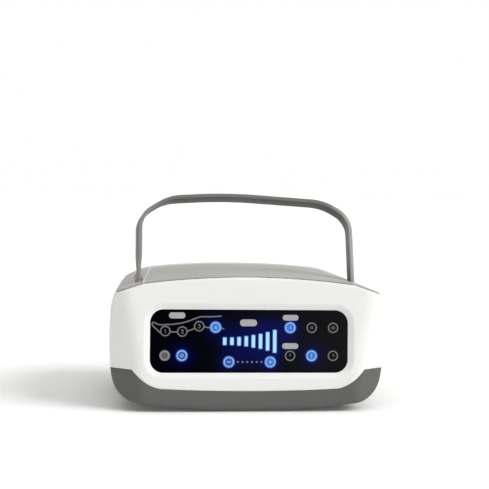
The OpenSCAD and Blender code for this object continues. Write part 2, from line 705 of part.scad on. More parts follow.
// A screw with its head on the plane at seat
module rear_screw(seat, length) {
    translate([0, 0, seat]) cylinder(r = rear_head_r, h = 0.8);
    translate([0, 0, seat - length]) cylinder(r = rear_screw_r, h = length);
}
module rear_screws() color(steel) {
    each_inlet_hole() rear_screw(panel_y - seam + inlet_out, inlet_out + panel_t + 4);
    each_fan_hole() rear_screw(panel_y - seam, panel_t + foam_t + fan_t);
}
foam_t = 3;
foam_y = panel_y - panel_t - seam - foam_t - slit;
module filter_foam() color([0.2, 0.2, 0.21]) difference() {
    on_rear(fan_x, panel_z, foam_y) plate(fan_w - 2, fan_w - 2, 2, foam_t);
    each_fan_hole() cylinder(r = rear_screw_r + 0.1, h = big);
}
fan_y = foam_y - slit - fan_t;
hub_r = 14;
shaft_r = 1.5;
module fan_frame() color(rubber) union() {
    on_rear(fan_x, panel_z, fan_y) difference() {
        plate(fan_w, fan_w, 4, fan_t);
        translate([0, 0, -1]) cylinder(r = fan_r, h = fan_t + 2);
        for (x = [-1, 1], y = [-1, 1]) translate([x * fan_hole, y * fan_hole, -1])
            cylinder(r = rear_screw_r + 0.02, h = fan_t + 2);
    }
    on_rear(fan_x, panel_z, fan_y) {
        cylinder(r = hub_r, h = 2);
        for (a = [0:120:240]) rotate([0, 0, a]) translate([0, -1.5, 0]) cube([fan_r + 0.5, 3, 2]);
        cylinder(r = shaft_r, h = fan_t - 3);
    }
}
blade_count = 7;
blade_reach = fan_r - 1.2;
module fan_rotor() color([0.25, 0.25, 0.26]) on_rear(fan_x, panel_z, fan_y) difference() {
    union() {
        translate([0, 0, 3]) cylinder(r = hub_r, h = fan_t - 4.5);
        intersection() {
            translate([0, 0, 3]) cylinder(r = blade_reach, h = fan_t - 4.5);
            for (i = [0:blade_count - 1]) rotate([0, 0, i * 360 / blade_count]) translate([hub_r - 1, 0, fan_t / 2])
                rotate([35, 0, 0]) translate([0, -7, -0.6]) cube([fan_r, 14, 1.2]);
        }
    }
    translate([0, 0, 2]) cylinder(r = shaft_r + 0.05, h = fan_t - 4.5);
}

module mains_inlet() color(rubber) difference() {
    union() {
        on_rear(-inlet_x, inlet_z + inlet_up, panel_y - seam) plate(inlet_body_w + 3, inlet_body_h + 3, 3, inlet_out);
        on_rear(-inlet_x, inlet_z, panel_y - seam) plate(2 * inlet_screw_x + 9, 16, 5, inlet_out);
        on_rear(-inlet_x, inlet_z + inlet_up, panel_y - inlet_len) plate(inlet_body_w, inlet_body_h, 1, inlet_len);
    }
    on_rear(-inlet_x, inlet_z, panel_y + inlet_out - seam - inlet_deep) plate(inlet_w, inlet_h, 3, big / 20);
    on_rear(-inlet_x, inlet_z + drawer_up, panel_y + inlet_out - seam - drawer_len)
        plate(drawer_w + 0.3, drawer_h + 0.3, 0.6, big / 20);
    each_inlet_hole() cylinder(r = rear_screw_r + 0.1, h = big);
}
blade_z = 2.2;
module inlet_pins() color(steel) {
    for (s = [-1, 1]) on_rear(s * 7 - inlet_x, inlet_z + blade_z, panel_y + inlet_out - seam - inlet_deep)
        translate([-1, -2, 0]) cube([2, 4, inlet_deep - 3]);
    on_rear(-inlet_x, inlet_z + blade_z + 3.4, panel_y + inlet_out - seam - inlet_deep)
        translate([-1, -2, 0]) cube([2, 4, inlet_deep - 2]);
}
module fuse_drawer() color([0.2, 0.2, 0.2]) difference() {
    on_rear(-inlet_x, inlet_z + drawer_up, panel_y + inlet_out - seam - drawer_len + 0.3)
        plate(drawer_w, drawer_h, 0.5, drawer_len - 0.3);
    on_rear(-inlet_x, inlet_z + drawer_up, panel_y + inlet_out - seam - drawer_len + 3)
        translate([-drawer_w / 2 + 0.8, 0 - drawer_h / 2 + 1, 0]) cube([drawer_w - 1.6, drawer_h, 7]);
    on_rear(-inlet_x, inlet_z + drawer_up - drawer_h / 2, panel_y + inlet_out - seam - 1)
        translate([-4, 0, 0]) cube([8, 1.6, 9]);
}
fuse_r = 2.6;
module fuse() color([0.85, 0.87, 0.85]) translate([-inlet_x - 10, panel_y + inlet_out - seam - drawer_len + 6.5,
    inlet_z + drawer_up - drawer_h / 2 + 1 + fuse_r + slit]) rotate([0, 90, 0]) cylinder(r = fuse_r, h = 20);

rocker_pivot_in = 2;
rocker_deep = 9;
module switch_frame() color(rubber) difference() {
    union() {
        on_rear(-switch_x, switch_z, panel_y - seam) plate(switch_w, switch_h, 1.5, 1.6);
        on_rear(-switch_x, switch_z, panel_y - switch_len) plate(switch_w - 2, switch_h - 2, 1, switch_len);
    }
    on_rear(-switch_x, switch_z, panel_y - switch_len + 2) plate(rocker_w + 0.6, rocker_h + 0.8, 0.5, big / 20);
    on_rocker() cylinder(r = rocker_pin_r + 0.05, h = rocker_w + 1.2, center = true);
}
rocker_pin_r = 1;
module on_rocker() translate([-switch_x, panel_y - rocker_pivot_in, switch_z]) rotate([0, 90, 0]) children();
module power_rocker() color(rubber) {
    on_rocker() cylinder(r = rocker_pin_r, h = rocker_w + 1, center = true);
    translate([-switch_x, panel_y - rocker_pivot_in, switch_z]) rotate([-rocker_tilt / 2, 0, 0])
        intersection() {
            translate([-rocker_w / 2, -rocker_deep, -rocker_h / 2]) cube([rocker_w, 2 * rocker_deep, rocker_h]);
            rotate([0, 90, 0]) cylinder(r = rocker_h / 2 - 0.2, h = rocker_w, center = true);
            translate([-rocker_w, -big / 2, -rocker_h]) cube([2 * rocker_w, big / 2 + 3.6, 2 * rocker_h]);
        }
    }

module pipe(points, r, knuckle = 0) {
    for (i = [0:len(points) - 2])
        let (a = points[i], d = points[i + 1] - a)
        translate(a) rotate([0, acos(d[2] / norm(d)), atan2(d[1], d[0])]) cylinder(r = r, h = norm(d));
    if (len(points) > 2)
        for (i = [1:len(points) - 2]) translate(points[i]) sphere(r = r + knuckle);
}
wire_r = 1.1;
wire_end = board_z + board_t + 8;
module mains_wires() color([0.55, 0.35, 0.2]) for (i = [-1, 1]) {
    pipe([[-inlet_x + 7 * i, panel_y - inlet_len - slit, inlet_z], [-inlet_x + 7 * i, panel_y - inlet_len - 5, inlet_z],
        [-inlet_x + 7 * i, panel_y - inlet_len - 5, wire_end]], wire_r);
    pipe([[-switch_x + 4 * i, panel_y - switch_len - slit, switch_z],
        [-switch_x + 4 * i, panel_y - inlet_len - 5, switch_z],
        [-switch_x + 4 * i, panel_y - inlet_len - 5, wire_end]], wire_r);
}

// ---- Feet and screws ----
module feet() color(rubber) each_foot() {
    cylinder(r = foot_r, h = foot_seat);
    cylinder(r = stud_r, h = floor_z(foot_x, 0) + 3);
}
screw_len = 24;
module case_screws() color(steel) each_post() translate([0, 0, head_z]) {
    translate([0, 0, -3]) cylinder(r = screw_head_r, h = 3);
    cylinder(r = screw_r, h = screw_len);
}

// ---- Air pump ----
shaft_up = 28;
end_t = 3;
head_t = 12;
core_x = pump_w / 2 - head_t - end_t - 2;
coil_gap = 8;
module pump_base() color(steel) difference() {
    union() {
        translate([-pump_w / 2, -pump_front - pump_d / 2, pump_z]) cube([pump_w, pump_d, end_t]);
        for (s = [-1, 1]) side(s) translate([core_x - end_t, -pump_front - head_h / 2, pump_z])
            cube([end_t, head_h, shaft_up + head_h / 2]);
    }
    for (x = [-pump_hole_x, pump_hole_x], y = [-pump_hole_y, pump_hole_y])
        translate([x, y - pump_front, pump_z - 1]) cylinder(r = 3.1, h = end_t + 2);
    translate([0, -pump_front, pump_z + shaft_up]) rotate([0, 90, 0])
        cylinder(r = diaphragm_r - 4, h = 2 * core_x + 9, center = true);
}
module pump_mounts() color(rubber) for (x = [-pump_hole_x, pump_hole_x], y = [-pump_hole_y, pump_hole_y])
    translate([x, y - pump_front, pump_seat]) difference() {
        union() {
            cylinder(r = 6, h = mount_h);
            cylinder(r = 3, h = mount_h + end_t + 0.5);
            translate([0, 0, mount_h + end_t]) cylinder(r = 5, h = 1.5);
        }
        translate([0, 0, -1]) cylinder(r = 2.02, h = 5.5);
    }
core_w = 46;
core_stack = 24;
yoke_t = 4;
leg_len = 12;
side_leg = 6;
mid_leg = 12;
module each_core() for (s = [-1, 1]) translate([0, -pump_front, pump_z + shaft_up])
    mirror([0, s < 0 ? 1 : 0, 0]) translate([0, coil_gap, 0]) children();
module pump_cores() color([0.35, 0.36, 0.38]) each_core() {
    translate([-core_w / 2, leg_len, end_t - shaft_up]) cube([core_w, yoke_t, shaft_up - end_t + core_stack / 2]);
    for (x = [-1, 1]) translate([x * (core_w - side_leg) / 2 - side_leg / 2, 0, -core_stack / 2])
        cube([side_leg, leg_len, core_stack]);
    translate([-mid_leg / 2, 0, -core_stack / 2]) cube([mid_leg, leg_len, core_stack]);
}
winding = (core_w - mid_leg) / 2 - side_leg - 0.6;
module pump_coils() color(copper) each_core() difference() {
    translate([-mid_leg / 2 - winding, 1, -core_stack / 2 - winding])
        cube([mid_leg + 2 * winding, leg_len - 1.2, core_stack + 2 * winding]);
    translate([-mid_leg / 2 - 0.2, 0, -core_stack / 2 - 0.2]) cube([mid_leg + 0.4, leg_len, core_stack + 0.4]);
}
magnet_t = 5;
module pump_armature() color(steel) translate([0, -pump_front, pump_z + shaft_up]) {
    rotate([0, 90, 0]) cylinder(r = 3, h = 2 * core_x - 0.2, center = true);
    translate([-19, -2, -11]) cube([38, 4, 22]);
    for (x = [-1, 1], y = [-1, 1]) translate([x * 10 - 5, y > 0 ? 2 : -magnet_t, -9]) cube([10, magnet_t - 2, 18]);
    for (s = [-1, 1]) side(s) translate([core_x - 3, 0, 0]) rotate([0, 90, 0]) cylinder(r = 8, h = 2.9);
}
module diaphragm(s) color(rubber) translate([0, -pump_front, pump_z + shaft_up]) side(s)
    translate([core_x, 0, 0]) rotate([0, 90, 0]) cylinder(r = diaphragm_r, h = 2);
module left_diaphragm() diaphragm(-1);
module right_diaphragm() diaphragm(1);
nipple_r = 3;
module pump_heads() color([0.8, 0.8, 0.78]) for (s = [-1, 1]) translate([0, -pump_front, pump_z + shaft_up]) side(s)
    translate([core_x + 2.05, 0, 0]) difference() {
        union() {
            translate([0, -head_h / 2, -shaft_up + end_t + 2]) cube([head_t, head_h, head_h / 2 + shaft_up - end_t - 2]);
            translate([head_t / 2, 0, head_h / 2]) cylinder(r = nipple_r, h = 6);
        }
        translate([-1, 0, 0]) rotate([0, 90, 0]) cylinder(r = diaphragm_r - 4, h = armature_travel + 5.5);
        translate([head_t / 2, 0, 0]) cylinder(r = 1.6, h = big / 4);
    }
pipe_r = 2.8;
pipe_x = core_x + 2.05 + head_t / 2;
nipple_top = pump_z + shaft_up + head_h / 2 + 6;
pipe_in_x = manifold_w / 2 - 12;
manifold_front = outlet_y - manifold_d / 2;
spigot = 5;
module pump_pipes() color([0.85, 0.87, 0.86, 0.6]) for (s = [-1, 1]) side(s)
    pipe([[pipe_x, -pump_front, nipple_top + slit], [pipe_x, -pump_front, nipple_top + 8],
        [pipe_in_x, manifold_front - spigot - 5, nipple_top + 8],
        [pipe_in_x, manifold_front - spigot - 5, outlet_z],
        [pipe_in_x, manifold_front - spigot - slit, outlet_z]], pipe_r, 0.4);

// ---- Manifold and valves ----
valve_count = 4;
plunger_h = 12;
spring_room = 6.5;
valve_bore_h = plunger_h + plunger_lift + spring_room;
valve_pitch = 20;
leg_x = manifold_w / 2 - 20;
module each_valve() for (i = [1:valve_count]) on_valve(i) children();
module on_valve(i) translate([(i - (valve_count + 1) / 2) * valve_pitch, outlet_y, manifold_z + manifold_t]) children();
module air_manifold() color([0.8, 0.8, 0.78]) difference() {
    union() {
        translate([-manifold_w / 2, manifold_front, manifold_z]) cube([manifold_w, manifold_d, manifold_t]);
        for (s = [-1, 1]) translate([s * pipe_in_x, manifold_front - spigot, outlet_z]) rotate([-90, 0, 0])
            cylinder(r = nipple_r, h = spigot + 1);
        for (s = [-1, 1], y = [-1, 1]) translate([s * leg_x, outlet_y + y * (manifold_d / 2 - 4), board_z + board_t])
            cylinder(r = 3.5, h = manifold_z - board_z - board_t + 1);
    }
    for (s = [-1, 1]) side(s) on_outlet(manifold_w / 2 - 9) each_port() cylinder(r = port_r - 1.38, h = 20);
    each_valve() translate([0, 0, -4]) cylinder(r = 1, h = 5);
}
module valve_coils() color(copper) each_valve() difference() {
    cylinder(r = valve_r, h = valve_h);
    translate([0, 0, -1]) cylinder(r = plunger_r + 0.05, h = valve_bore_h + 1);
}
module plunger(i) color(steel) on_valve(i) translate([0, 0, slit]) cylinder(r = plunger_r, h = plunger_h);
module valve_plunger_1() plunger(1);
module valve_plunger_2() plunger(2);
module valve_plunger_3() plunger(3);
module valve_plunger_4() plunger(4);
module valve_spring(i) color([0.6, 0.6, 0.62]) on_valve(i) translate([0, 0, plunger_h + 2 * slit])
    ring(plunger_r - 0.5, plunger_r - 1.3, valve_bore_h - plunger_h - 3 * slit);
module valve_spring_1() valve_spring(1);
module valve_spring_2() valve_spring(2);
module valve_spring_3() valve_spring(3);
module valve_spring_4() valve_spring(4);

// ---- Electronics ----
board_top = board_z + board_t;
module main_board() color(board_green) difference() {
    translate([-board_w / 2, board_y - board_d / 2, board_z]) cube([board_w, board_d, board_t]);
    for (x = [-board_hole_x, board_hole_x], y = [-board_hole_y, board_hole_y])
        translate([x, board_y + y, board_z - 1]) cylinder(r = 1.5, h = board_t + 2);
}
module pressure_sensor() color(rubber) translate([0, board_y - board_d / 2 + 8, board_top]) {
    translate([-6, -5, 0]) cube([12, 10, 7]);
    cylinder(r = 2, h = 12);
}
module transformer() color([0.85, 0.75, 0.2]) translate([-board_w / 2 + 26, board_y + 2, board_top]) {
    translate([-17, -14, 0]) cube([34, 28, 26]);
    translate([-20, -9, 4]) cube([40, 18, 18]);
}
module capacitors() color([0.15, 0.2, 0.4]) for (i = [0:2])
    translate([board_w / 2 - 24 + 14 * (i - 1), board_y + 24, board_top]) cylinder(r = 6, h = 20);
fin_count = 6;
module heat_sink() color([0.6, 0.61, 0.63]) translate([board_w / 2 - 27, board_y - 14, board_top]) {
    translate([-15, -12, 0]) cube([30, 24, 4]);
    for (i = [0:fin_count - 1]) translate([-15 + i * 5.6, -12, 0]) cube([2, 24, 20]);
}
ribbon_x = board_w / 2 - 16;
ribbon_w = 20;
ribbon_t = 0.9;
ribbon_z = 90;
ribbon_y = board_y + 13;
module ribbon_cable() color([0.6, 0.6, 0.62]) translate([ribbon_x, 0, 0]) {
    along_x(ribbon_w) polygon([
        [face_y(ribbon_z) - display_out + board_t + 1, ribbon_z],
        [ribbon_y, ribbon_z],
        [ribbon_y, board_top],
        [ribbon_y + ribbon_t, board_top],
        [ribbon_y + ribbon_t, ribbon_z + ribbon_t],
        [face_y(ribbon_z) - display_out + board_t + 1, ribbon_z + ribbon_t]]);
}

front_fascia();
top_cover();
lower_housing();
control_window();
key_rings();
key_signs();
level_bars();
label_plates();
leg_sign();
carry_handle();
pivot_pins();
handle_washers();
left_outlet();
right_outlet();
left_gasket();
right_gasket();
outlet_barbs();
air_tubes();
rear_panel();
rear_screws();
filter_foam();
fan_frame();
fan_rotor();
mains_inlet();
inlet_pins();
fuse_drawer();
fuse();
switch_frame();
power_rocker();
mains_wires();
feet();
case_screws();
pump_base();
pump_mounts();
pump_cores();
pump_coils();
pump_armature();
left_diaphragm();
right_diaphragm();
pump_heads();
pump_pipes();
air_manifold();
valve_coils();
valve_plunger_1();
valve_plunger_2();
valve_plunger_3();
valve_plunger_4();
valve_spring_1();
valve_spring_2();
valve_spring_3();
valve_spring_4();
pressure_sensor();
main_board();
transformer();
capacitors();
heat_sink();
display_board();
panel_lights();
touch_springs();
ribbon_cable();
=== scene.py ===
import json
import math
import bpy
import bmesh
import numpy as np
from mathutils import Vector, Matrix


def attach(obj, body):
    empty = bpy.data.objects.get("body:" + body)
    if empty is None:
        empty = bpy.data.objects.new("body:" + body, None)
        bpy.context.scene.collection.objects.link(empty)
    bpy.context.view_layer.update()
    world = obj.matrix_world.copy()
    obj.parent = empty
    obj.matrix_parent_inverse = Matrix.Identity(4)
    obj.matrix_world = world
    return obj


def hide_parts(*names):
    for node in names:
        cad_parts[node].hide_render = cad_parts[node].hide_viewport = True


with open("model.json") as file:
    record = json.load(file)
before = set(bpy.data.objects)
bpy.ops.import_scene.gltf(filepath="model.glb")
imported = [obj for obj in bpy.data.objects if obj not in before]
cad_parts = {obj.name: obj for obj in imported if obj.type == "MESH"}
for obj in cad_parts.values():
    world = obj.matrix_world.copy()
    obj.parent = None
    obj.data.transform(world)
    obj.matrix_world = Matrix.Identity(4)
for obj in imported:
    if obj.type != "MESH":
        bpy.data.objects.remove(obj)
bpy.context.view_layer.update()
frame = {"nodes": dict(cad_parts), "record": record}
print("frame loaded:", len(frame["nodes"]), "nodes")

# Sizes are in millimetres until a mesh is made; the scene is in metres
milli = 0.001
caseSizes = {
    "width": 278.2, "depth": 190.0, "height": 133.8, "baseLift": 0.5,
    "baseFlat": 76.0, "baseRise": 10.1, "baseRound": 28.5,
    "widestUp": 76.0, "shoulderUp": 117.0, "shoulderIn": 5.2, "crownDrop": 7.1,
    "waistIn": 4.7, "rearIn": 19.7, "crownTaper": 0.071, "rearRound": 22.0,
    "frontLean": 6.3, "creaseX": 106.0, "cheekSweep": 21.0, "fasciaDeep": 24.0,
    "skirtUp": 21.0, "skirtSideUp": 41.5, "skirtBow": 2.0, "skirtLowX": 84.0, "skirtHighX": 116.0,
    "coverUp": 98.0, "wall": 2.2,
    "seamHalf": 0.16, "lipWide": 0.8, "lipDeep": 0.24, "skinHalfUp": 66.0,
    "fasciaLip": 1.1, "fasciaLipEnd": 131.7, "fasciaLipLow": 107.7,
    "uprightSoft": 3.0, "crownSoft": 4.2, "drawFrom": 15.0, "drawSoft": 6.0, "drawX": 60.0,
}
halfWide = caseSizes["width"] / 2
frontY = -caseSizes["depth"] / 2
rearY = caseSizes["depth"] / 2
leanAngle = math.radians(caseSizes["frontLean"])
leanSlope = math.tan(leanAngle)
taperAngle = math.atan(caseSizes["crownTaper"])
wall = caseSizes["wall"]


# Camera, lamps and floor
viewSizes = {
    "distance": 1.2, "azimuth": -6.4, "elevation": 4.5, "roll": 1.2,
    "target": (0.0025, 0.0, 0.1587), "lens": 83.48, "worldLight": 0.43, "worldColour": (1.0, 0.99, 0.962, 1),
    # Each lamp's degrees to the right and over the horizon, its light and its spread in degrees
    "lamps": {"keyLamp": (68, 38, 0.68, 32), "topLamp": (0, 86, 0.25, 60)},
}


def placeCamera():
    turn = math.radians(viewSizes["azimuth"])
    lift = math.radians(viewSizes["elevation"])
    roll = math.radians(viewSizes["roll"])
    back = Vector((math.sin(turn) * math.cos(lift), -math.cos(turn) * math.cos(lift), math.sin(lift)))
    right = Vector((math.cos(turn), math.sin(turn), 0))
    up = back.cross(right)
    rolledRight = right * math.cos(roll) + up * math.sin(roll)
    rolledUp = up * math.cos(roll) - right * math.sin(roll)
    place = Vector(viewSizes["target"]) + back * viewSizes["distance"]
    lens = bpy.data.cameras.new("viewCamera")
    lens.lens = viewSizes["lens"]
    lens.sensor_width = 36
    lens.clip_end = 50
    camera = bpy.data.objects.new("viewCamera", lens)
    bpy.context.scene.collection.objects.link(camera)
    turned = Matrix((rolledRight, rolledUp, back)).transposed()
    camera.matrix_world = Matrix.Translation(place) @ turned.to_4x4()
    bpy.context.scene.camera = camera


def placeLamp(name, side, high, light, soft):
    # A broad soft lamp, as seen from the case
    lamp = bpy.data.lights.new(name, "SUN")
    lamp.energy = light * math.pi
    lamp.angle = math.radians(soft)
    lampObject = bpy.data.objects.new(name, lamp)
    bpy.context.scene.collection.objects.link(lampObject)
    side, high = math.radians(side), math.radians(high)
    toLamp = Vector((math.sin(side) * math.cos(high), -math.cos(side) * math.cos(high), math.sin(high)))
    lampObject.rotation_euler = toLamp.to_track_quat("Z", "Y").to_euler()


placeCamera()
for lampName, lampSizes in viewSizes["lamps"].items():
    placeLamp(lampName, *lampSizes)


# Shader wiring
class Wire:
    # One output socket, so that shader maths reads as plain sums
    def __init__(self, wiring, socket):
        self.wiring = wiring
        self.socket = socket

    def beside(self, output):
        # Another output of the same node
        return Wire(self.wiring, self.socket.node.outputs[output])

    def __add__(self, other):
        return self.wiring.maths("ADD", self, other)

    def __sub__(self, other):
        return self.wiring.maths("SUBTRACT", self, other)

    def __mul__(self, other):
        return self.wiring.maths("MULTIPLY", self, other)


class Wiring:
    # A node tree and the one way in which nodes are added to it
    def __init__(self, tree):
        self.tree = tree

    def add(self, kind, settings=None, sockets=None, output=0):
        node = self.tree.nodes.new(kind)
        for setting, value in (settings or {}).items():
            setattr(node, setting, value)
        for socket, value in (sockets or {}).items():
            if isinstance(value, Wire):
                self.tree.links.new(value.socket, node.inputs[socket])
            else:
                node.inputs[socket].default_value = value
        return Wire(self, node.outputs[output]) if node.outputs else None

    def maths(self, operation, value, other=0.0):
        return self.add("ShaderNodeMath", {"operation": operation}, {0: value, 1: other})


finishes = {}


class Finish(Wiring):
    # A material, kept by its name
    def __init__(self, name, constants):
        material = bpy.data.materials.new(name)
        material.use_nodes = True
        super().__init__(material.node_tree)
        self.shader = self.tree.nodes["Principled BSDF"]
        for socket, value in constants.items():
            self.shader.inputs[socket].default_value = value
        finishes[name] = material

    def mixed(self, factor, first, second):
        # Blend of two colours, each a plain triple or a wire
        first = (*first, 1) if isinstance(first, tuple) else first
        second = (*second, 1) if isinstance(second, tuple) else second
        return self.add("ShaderNodeMix", {"data_type": "RGBA"}, {0: factor, 6: first, 7: second}, 2)

    def drive(self, socket, wire):
        self.tree.links.new(wire.socket, self.shader.inputs[socket])

    def colour(self):
        # What drives the base colour so far
        return Wire(self, self.shader.inputs["Base Color"].links[0].from_socket)

    def places(self):
        return self.add("ShaderNodeTexCoord", output=3)

    def parts(self):
        # Across, back and up of the place on the object
        split = self.add("ShaderNodeSeparateXYZ", {}, {0: self.places()})
        return split, split.beside(1), split.beside(2)

    def bell(self, square):
        # One where the square is zero, and soon nothing as it grows
        return self.maths("EXPONENT", square * -1)

    def noise(self, scale, detail=2.0, rough=0.5, stretch=None):
        spot = self.places()
        if stretch:
            spot = self.add("ShaderNodeMapping", {}, {0: spot, 3: stretch})
        return self.add("ShaderNodeTexNoise", {}, {
            "Vector": spot, "Scale": scale, "Detail": detail, "Roughness": rough})

    def spread(self, wire, low, high, start=0.3, stop=0.7):
        return self.add("ShaderNodeMapRange", {}, {0: wire, 1: start, 2: stop, 3: low, 4: high})

    def between(self, wire, low, high, ends):
        # As spread, with the two places in millimetres
        return self.spread(wire, low, high, ends[0] * milli, ends[1] * milli)

    def bumped(self, height, strength, distance):
        self.drive("Normal", self.add("ShaderNodeBump", {}, {
            "Strength": strength, "Distance": distance, "Height": height}))


def setFloor():
    floorMesh = bpy.data.meshes.new("studioFloor")
    around = [(6 * math.cos(i * math.pi / 24), 6 * math.sin(i * math.pi / 24), 0) for i in range(48)]
    floorMesh.from_pydata(around, [], [tuple(range(48))])
    floor = bpy.data.objects.new("studioFloor", floorMesh)
    bpy.context.scene.collection.objects.link(floor)
    finish = Finish("palePaper", {"Roughness": 0.9, "Specular IOR Level": 0.1, "Emission Strength": 1.0})
    mottle = finish.spread(finish.noise(3.0, 3.0), 0, 1)
    finish.drive("Base Color", finish.mixed(mottle, (0.93, 0.93, 0.925), (0.95, 0.95, 0.95)))
    rays = finish.add("ShaderNodeLightPath")
    seen = rays + rays.beside("Is Glossy Ray")
    finish.drive("Emission Color", finish.mixed(seen, (0, 0, 0), (0.06, 0.06, 0.06)))
    floorMesh.materials.append(finishes["palePaper"])


def setWorld():
    # Even light from all round, and plain white where it is seen
    world = bpy.data.worlds.new("studio")
    bpy.context.scene.world = world
    world.use_nodes = True
    world.node_tree.nodes.clear()
    wiring = Wiring(world.node_tree)
    rays = wiring.add("ShaderNodeLightPath")
    seen = wiring.maths("MAXIMUM", rays, rays.beside("Is Transmission Ray"))
    seen = wiring.maths("MAXIMUM", seen, rays.beside("Is Glossy Ray"))
    lit = wiring.add("ShaderNodeBackground", {}, {0: viewSizes["worldColour"], 1: viewSizes["worldLight"]})
    white = wiring.add("ShaderNodeBackground", {}, {0: (1, 1, 1, 1), 1: 1.0})
    mix = wiring.add("ShaderNodeMixShader", {}, {0: seen, 1: lit, 2: white})
    wiring.add("ShaderNodeOutputWorld", {}, {0: mix})


setFloor()
setWorld()
bpy.context.scene.view_settings.view_transform = "Standard"
print("camera, lamps and floor set")


# Finishes
def mouldedPlastic(name, colour, darker, rough, grain, gloss):
    # Satin moulding: fine spark texture, a slight cloudiness and a little uneven gloss
    finish = Finish(name, {"Specular IOR Level": gloss})
    clouds = finish.noise(14.0, 3.0, 0.55)
    grainWire = finish.noise(2600.0, 2.0, 0.6)
    tint = finish.spread(clouds, 0, 0.5) + finish.spread(grainWire, 0, 0.12)
    finish.drive("Base Color", finish.mixed(tint, colour, darker))
    finish.drive("Roughness", finish.spread(clouds, rough - 0.03, rough + 0.04))
    finish.bumped(grainWire, grain, 0.00005)
    return finish


def metal(name, colour, rough, brushed=True):
    finish = Finish(name, {"Metallic": 1.0})
    streak = finish.noise(420.0, 3.0, 0.6, (1, 1, 14) if brushed else (1, 1, 1))
    dull = tuple(part * 0.86 for part in colour)
    finish.drive("Base Color", finish.mixed(finish.spread(streak, 0, 1), colour, dull))
    finish.drive("Roughness", finish.spread(streak, rough, rough + 0.14))
    finish.bumped(streak, 0.08, 0.0001)


# Colour, darker colour, roughness, grain and gloss
plasticLooks = {
    "whiteShell": ((0.86, 0.86, 0.852), (0.83, 0.83, 0.818), 0.34, 0.05, 0.45),
    "darkSkirt": ((0.112, 0.116, 0.109), (0.098, 0.102, 0.095), 0.5, 0.16, 0.35),
    "rearTextured": ((0.075, 0.077, 0.074), (0.055, 0.057, 0.055), 0.6, 0.5, 0.35),
    "blackFitting": ((0.022, 0.022, 0.024), (0.016, 0.016, 0.017), 0.42, 0.2, 0.45),
    "innerMoulding": ((0.62, 0.61, 0.57), (0.56, 0.55, 0.51), 0.5, 0.15, 0.4),
    "footRubber": ((0.03, 0.03, 0.03), (0.02, 0.02, 0.02), 0.82, 0.6, 0.25),
    "siliconeTube": ((0.68, 0.7, 0.68), (0.6, 0.62, 0.6), 0.3, 0.05, 0.5),
}
# Painted highlights on the crown: the side ridge lines and the band along the rear rim, and their pale
# colour
crownHighlightLook = {
    "ridgeIn": 0.6, "ridgeTurnY": -80.0, "ridgeWide": 0.9, "rimY": 70.0, "rimWide": 9.0,
    "rimEnds": (90.0, 104.0), "fadeUp": (116.0, 120.0), "pale": (0.66, 0.65, 0.63),
}


def greyTop():
    # The crown's side ridges and the rim along its rear edge are painted paler than the rest, as painted
    # highlights where those edges catch the light
    # The cover's grey is partly its own colour and partly painted shade: it is darker than the moulding so
    # the top keeps the shade it has under frontal light
    finish = mouldedPlastic("greyTop", (0.325, 0.318, 0.3), (0.3, 0.293, 0.277), 0.42, 0.1, 0.3)
    plain, look = finish.colour(), crownHighlightLook
    across, back, up = finish.parts()
    away = finish.maths("ABSOLUTE", across)
    ridgeHighlight = away + (back - look["ridgeTurnY"] * milli) * caseSizes["crownTaper"]
    ridgeHighlight = (ridgeHighlight - (caseSizes["creaseX"] - look["ridgeIn"]) * milli) * (1 / (look["ridgeWide"] * milli))
    rim = (back - look["rimY"] * milli) * (1 / (look["rimWide"] * milli))
    # Painted highlight band along the rear rim, fading out towards the sides
    pale = finish.bell(rim * rim) * finish.between(away, 0.8, 0, look["rimEnds"])
    pale = (pale + finish.bell(ridgeHighlight * ridgeHighlight)) * finish.between(up, 0, 0.8, look["fadeUp"])
    finish.drive("Base Color", finish.mixed(pale, plain, look["pale"]))


for plasticName, plasticLook in plasticLooks.items():
    mouldedPlastic(plasticName, *plasticLook)
greyTop()
metal("brightSteel", (0.62, 0.63, 0.64), 0.24)
metal("castAlloy", (0.56, 0.57, 0.58), 0.4, False)


def openFoam():
    finish = Finish("openFoam", {"Roughness": 0.95, "Specular IOR Level": 0.1})
    cells = finish.add("ShaderNodeTexVoronoi", {}, {"Vector": finish.places(), "Scale": 900.0})
    # The cell hollows are painted darker than the struts, as painted shade in the pores
    hollows = finish.spread(cells, 0, 1, 0.1, 0.5)
    finish.drive("Base Color", finish.mixed(hollows, (0.012, 0.012, 0.013), (0.07, 0.07, 0.072)))
    finish.bumped(cells, 0.8, 0.0006)


def woundCopper():
    finish = Finish("woundCopper", {"Metallic": 0.85})
    turns = finish.add("ShaderNodeTexWave", {"wave_type": "BANDS", "bands_direction": "Z"},
                       {"Vector": finish.places(), "Scale": 420.0, "Distortion": 0.6, "Detail": 1.0})
    finish.drive("Base Color", finish.mixed(turns, (0.24, 0.09, 0.04), (0.62, 0.28, 0.13)))
    finish.drive("Roughness", finish.spread(turns, 0.3, 0.5, 0, 1))
    finish.bumped(turns, 0.6, 0.0003)


def circuitBoard():
    finish = Finish("circuitBoard", {"Specular IOR Level": 0.5})
    tracks = finish.add("ShaderNodeTexBrick", {"offset": 0.3}, {
        "Vector": finish.places(), "Scale": 150.0, "Mortar Size": 0.07,
        "Color1": (0.01, 0.10, 0.045, 1), "Color2": (0.014, 0.12, 0.055, 1), "Mortar": (0.03, 0.2, 0.1, 1)})
    finish.drive("Base Color", tracks)
    finish.drive("Roughness", finish.spread(finish.noise(60.0), 0.28, 0.42))


def sleevedPart():
    finish = Finish("sleevedPart", {"Specular IOR Level": 0.5})
    bands = finish.noise(90.0, 1.0, 0.4, (1, 1, 6))
    tone = finish.spread(bands, 0, 1)
    finish.drive("Base Color", finish.mixed(tone, (0.03, 0.05, 0.13), (0.08, 0.1, 0.2)))
    finish.drive("Roughness", finish.spread(bands, 0.25, 0.4))


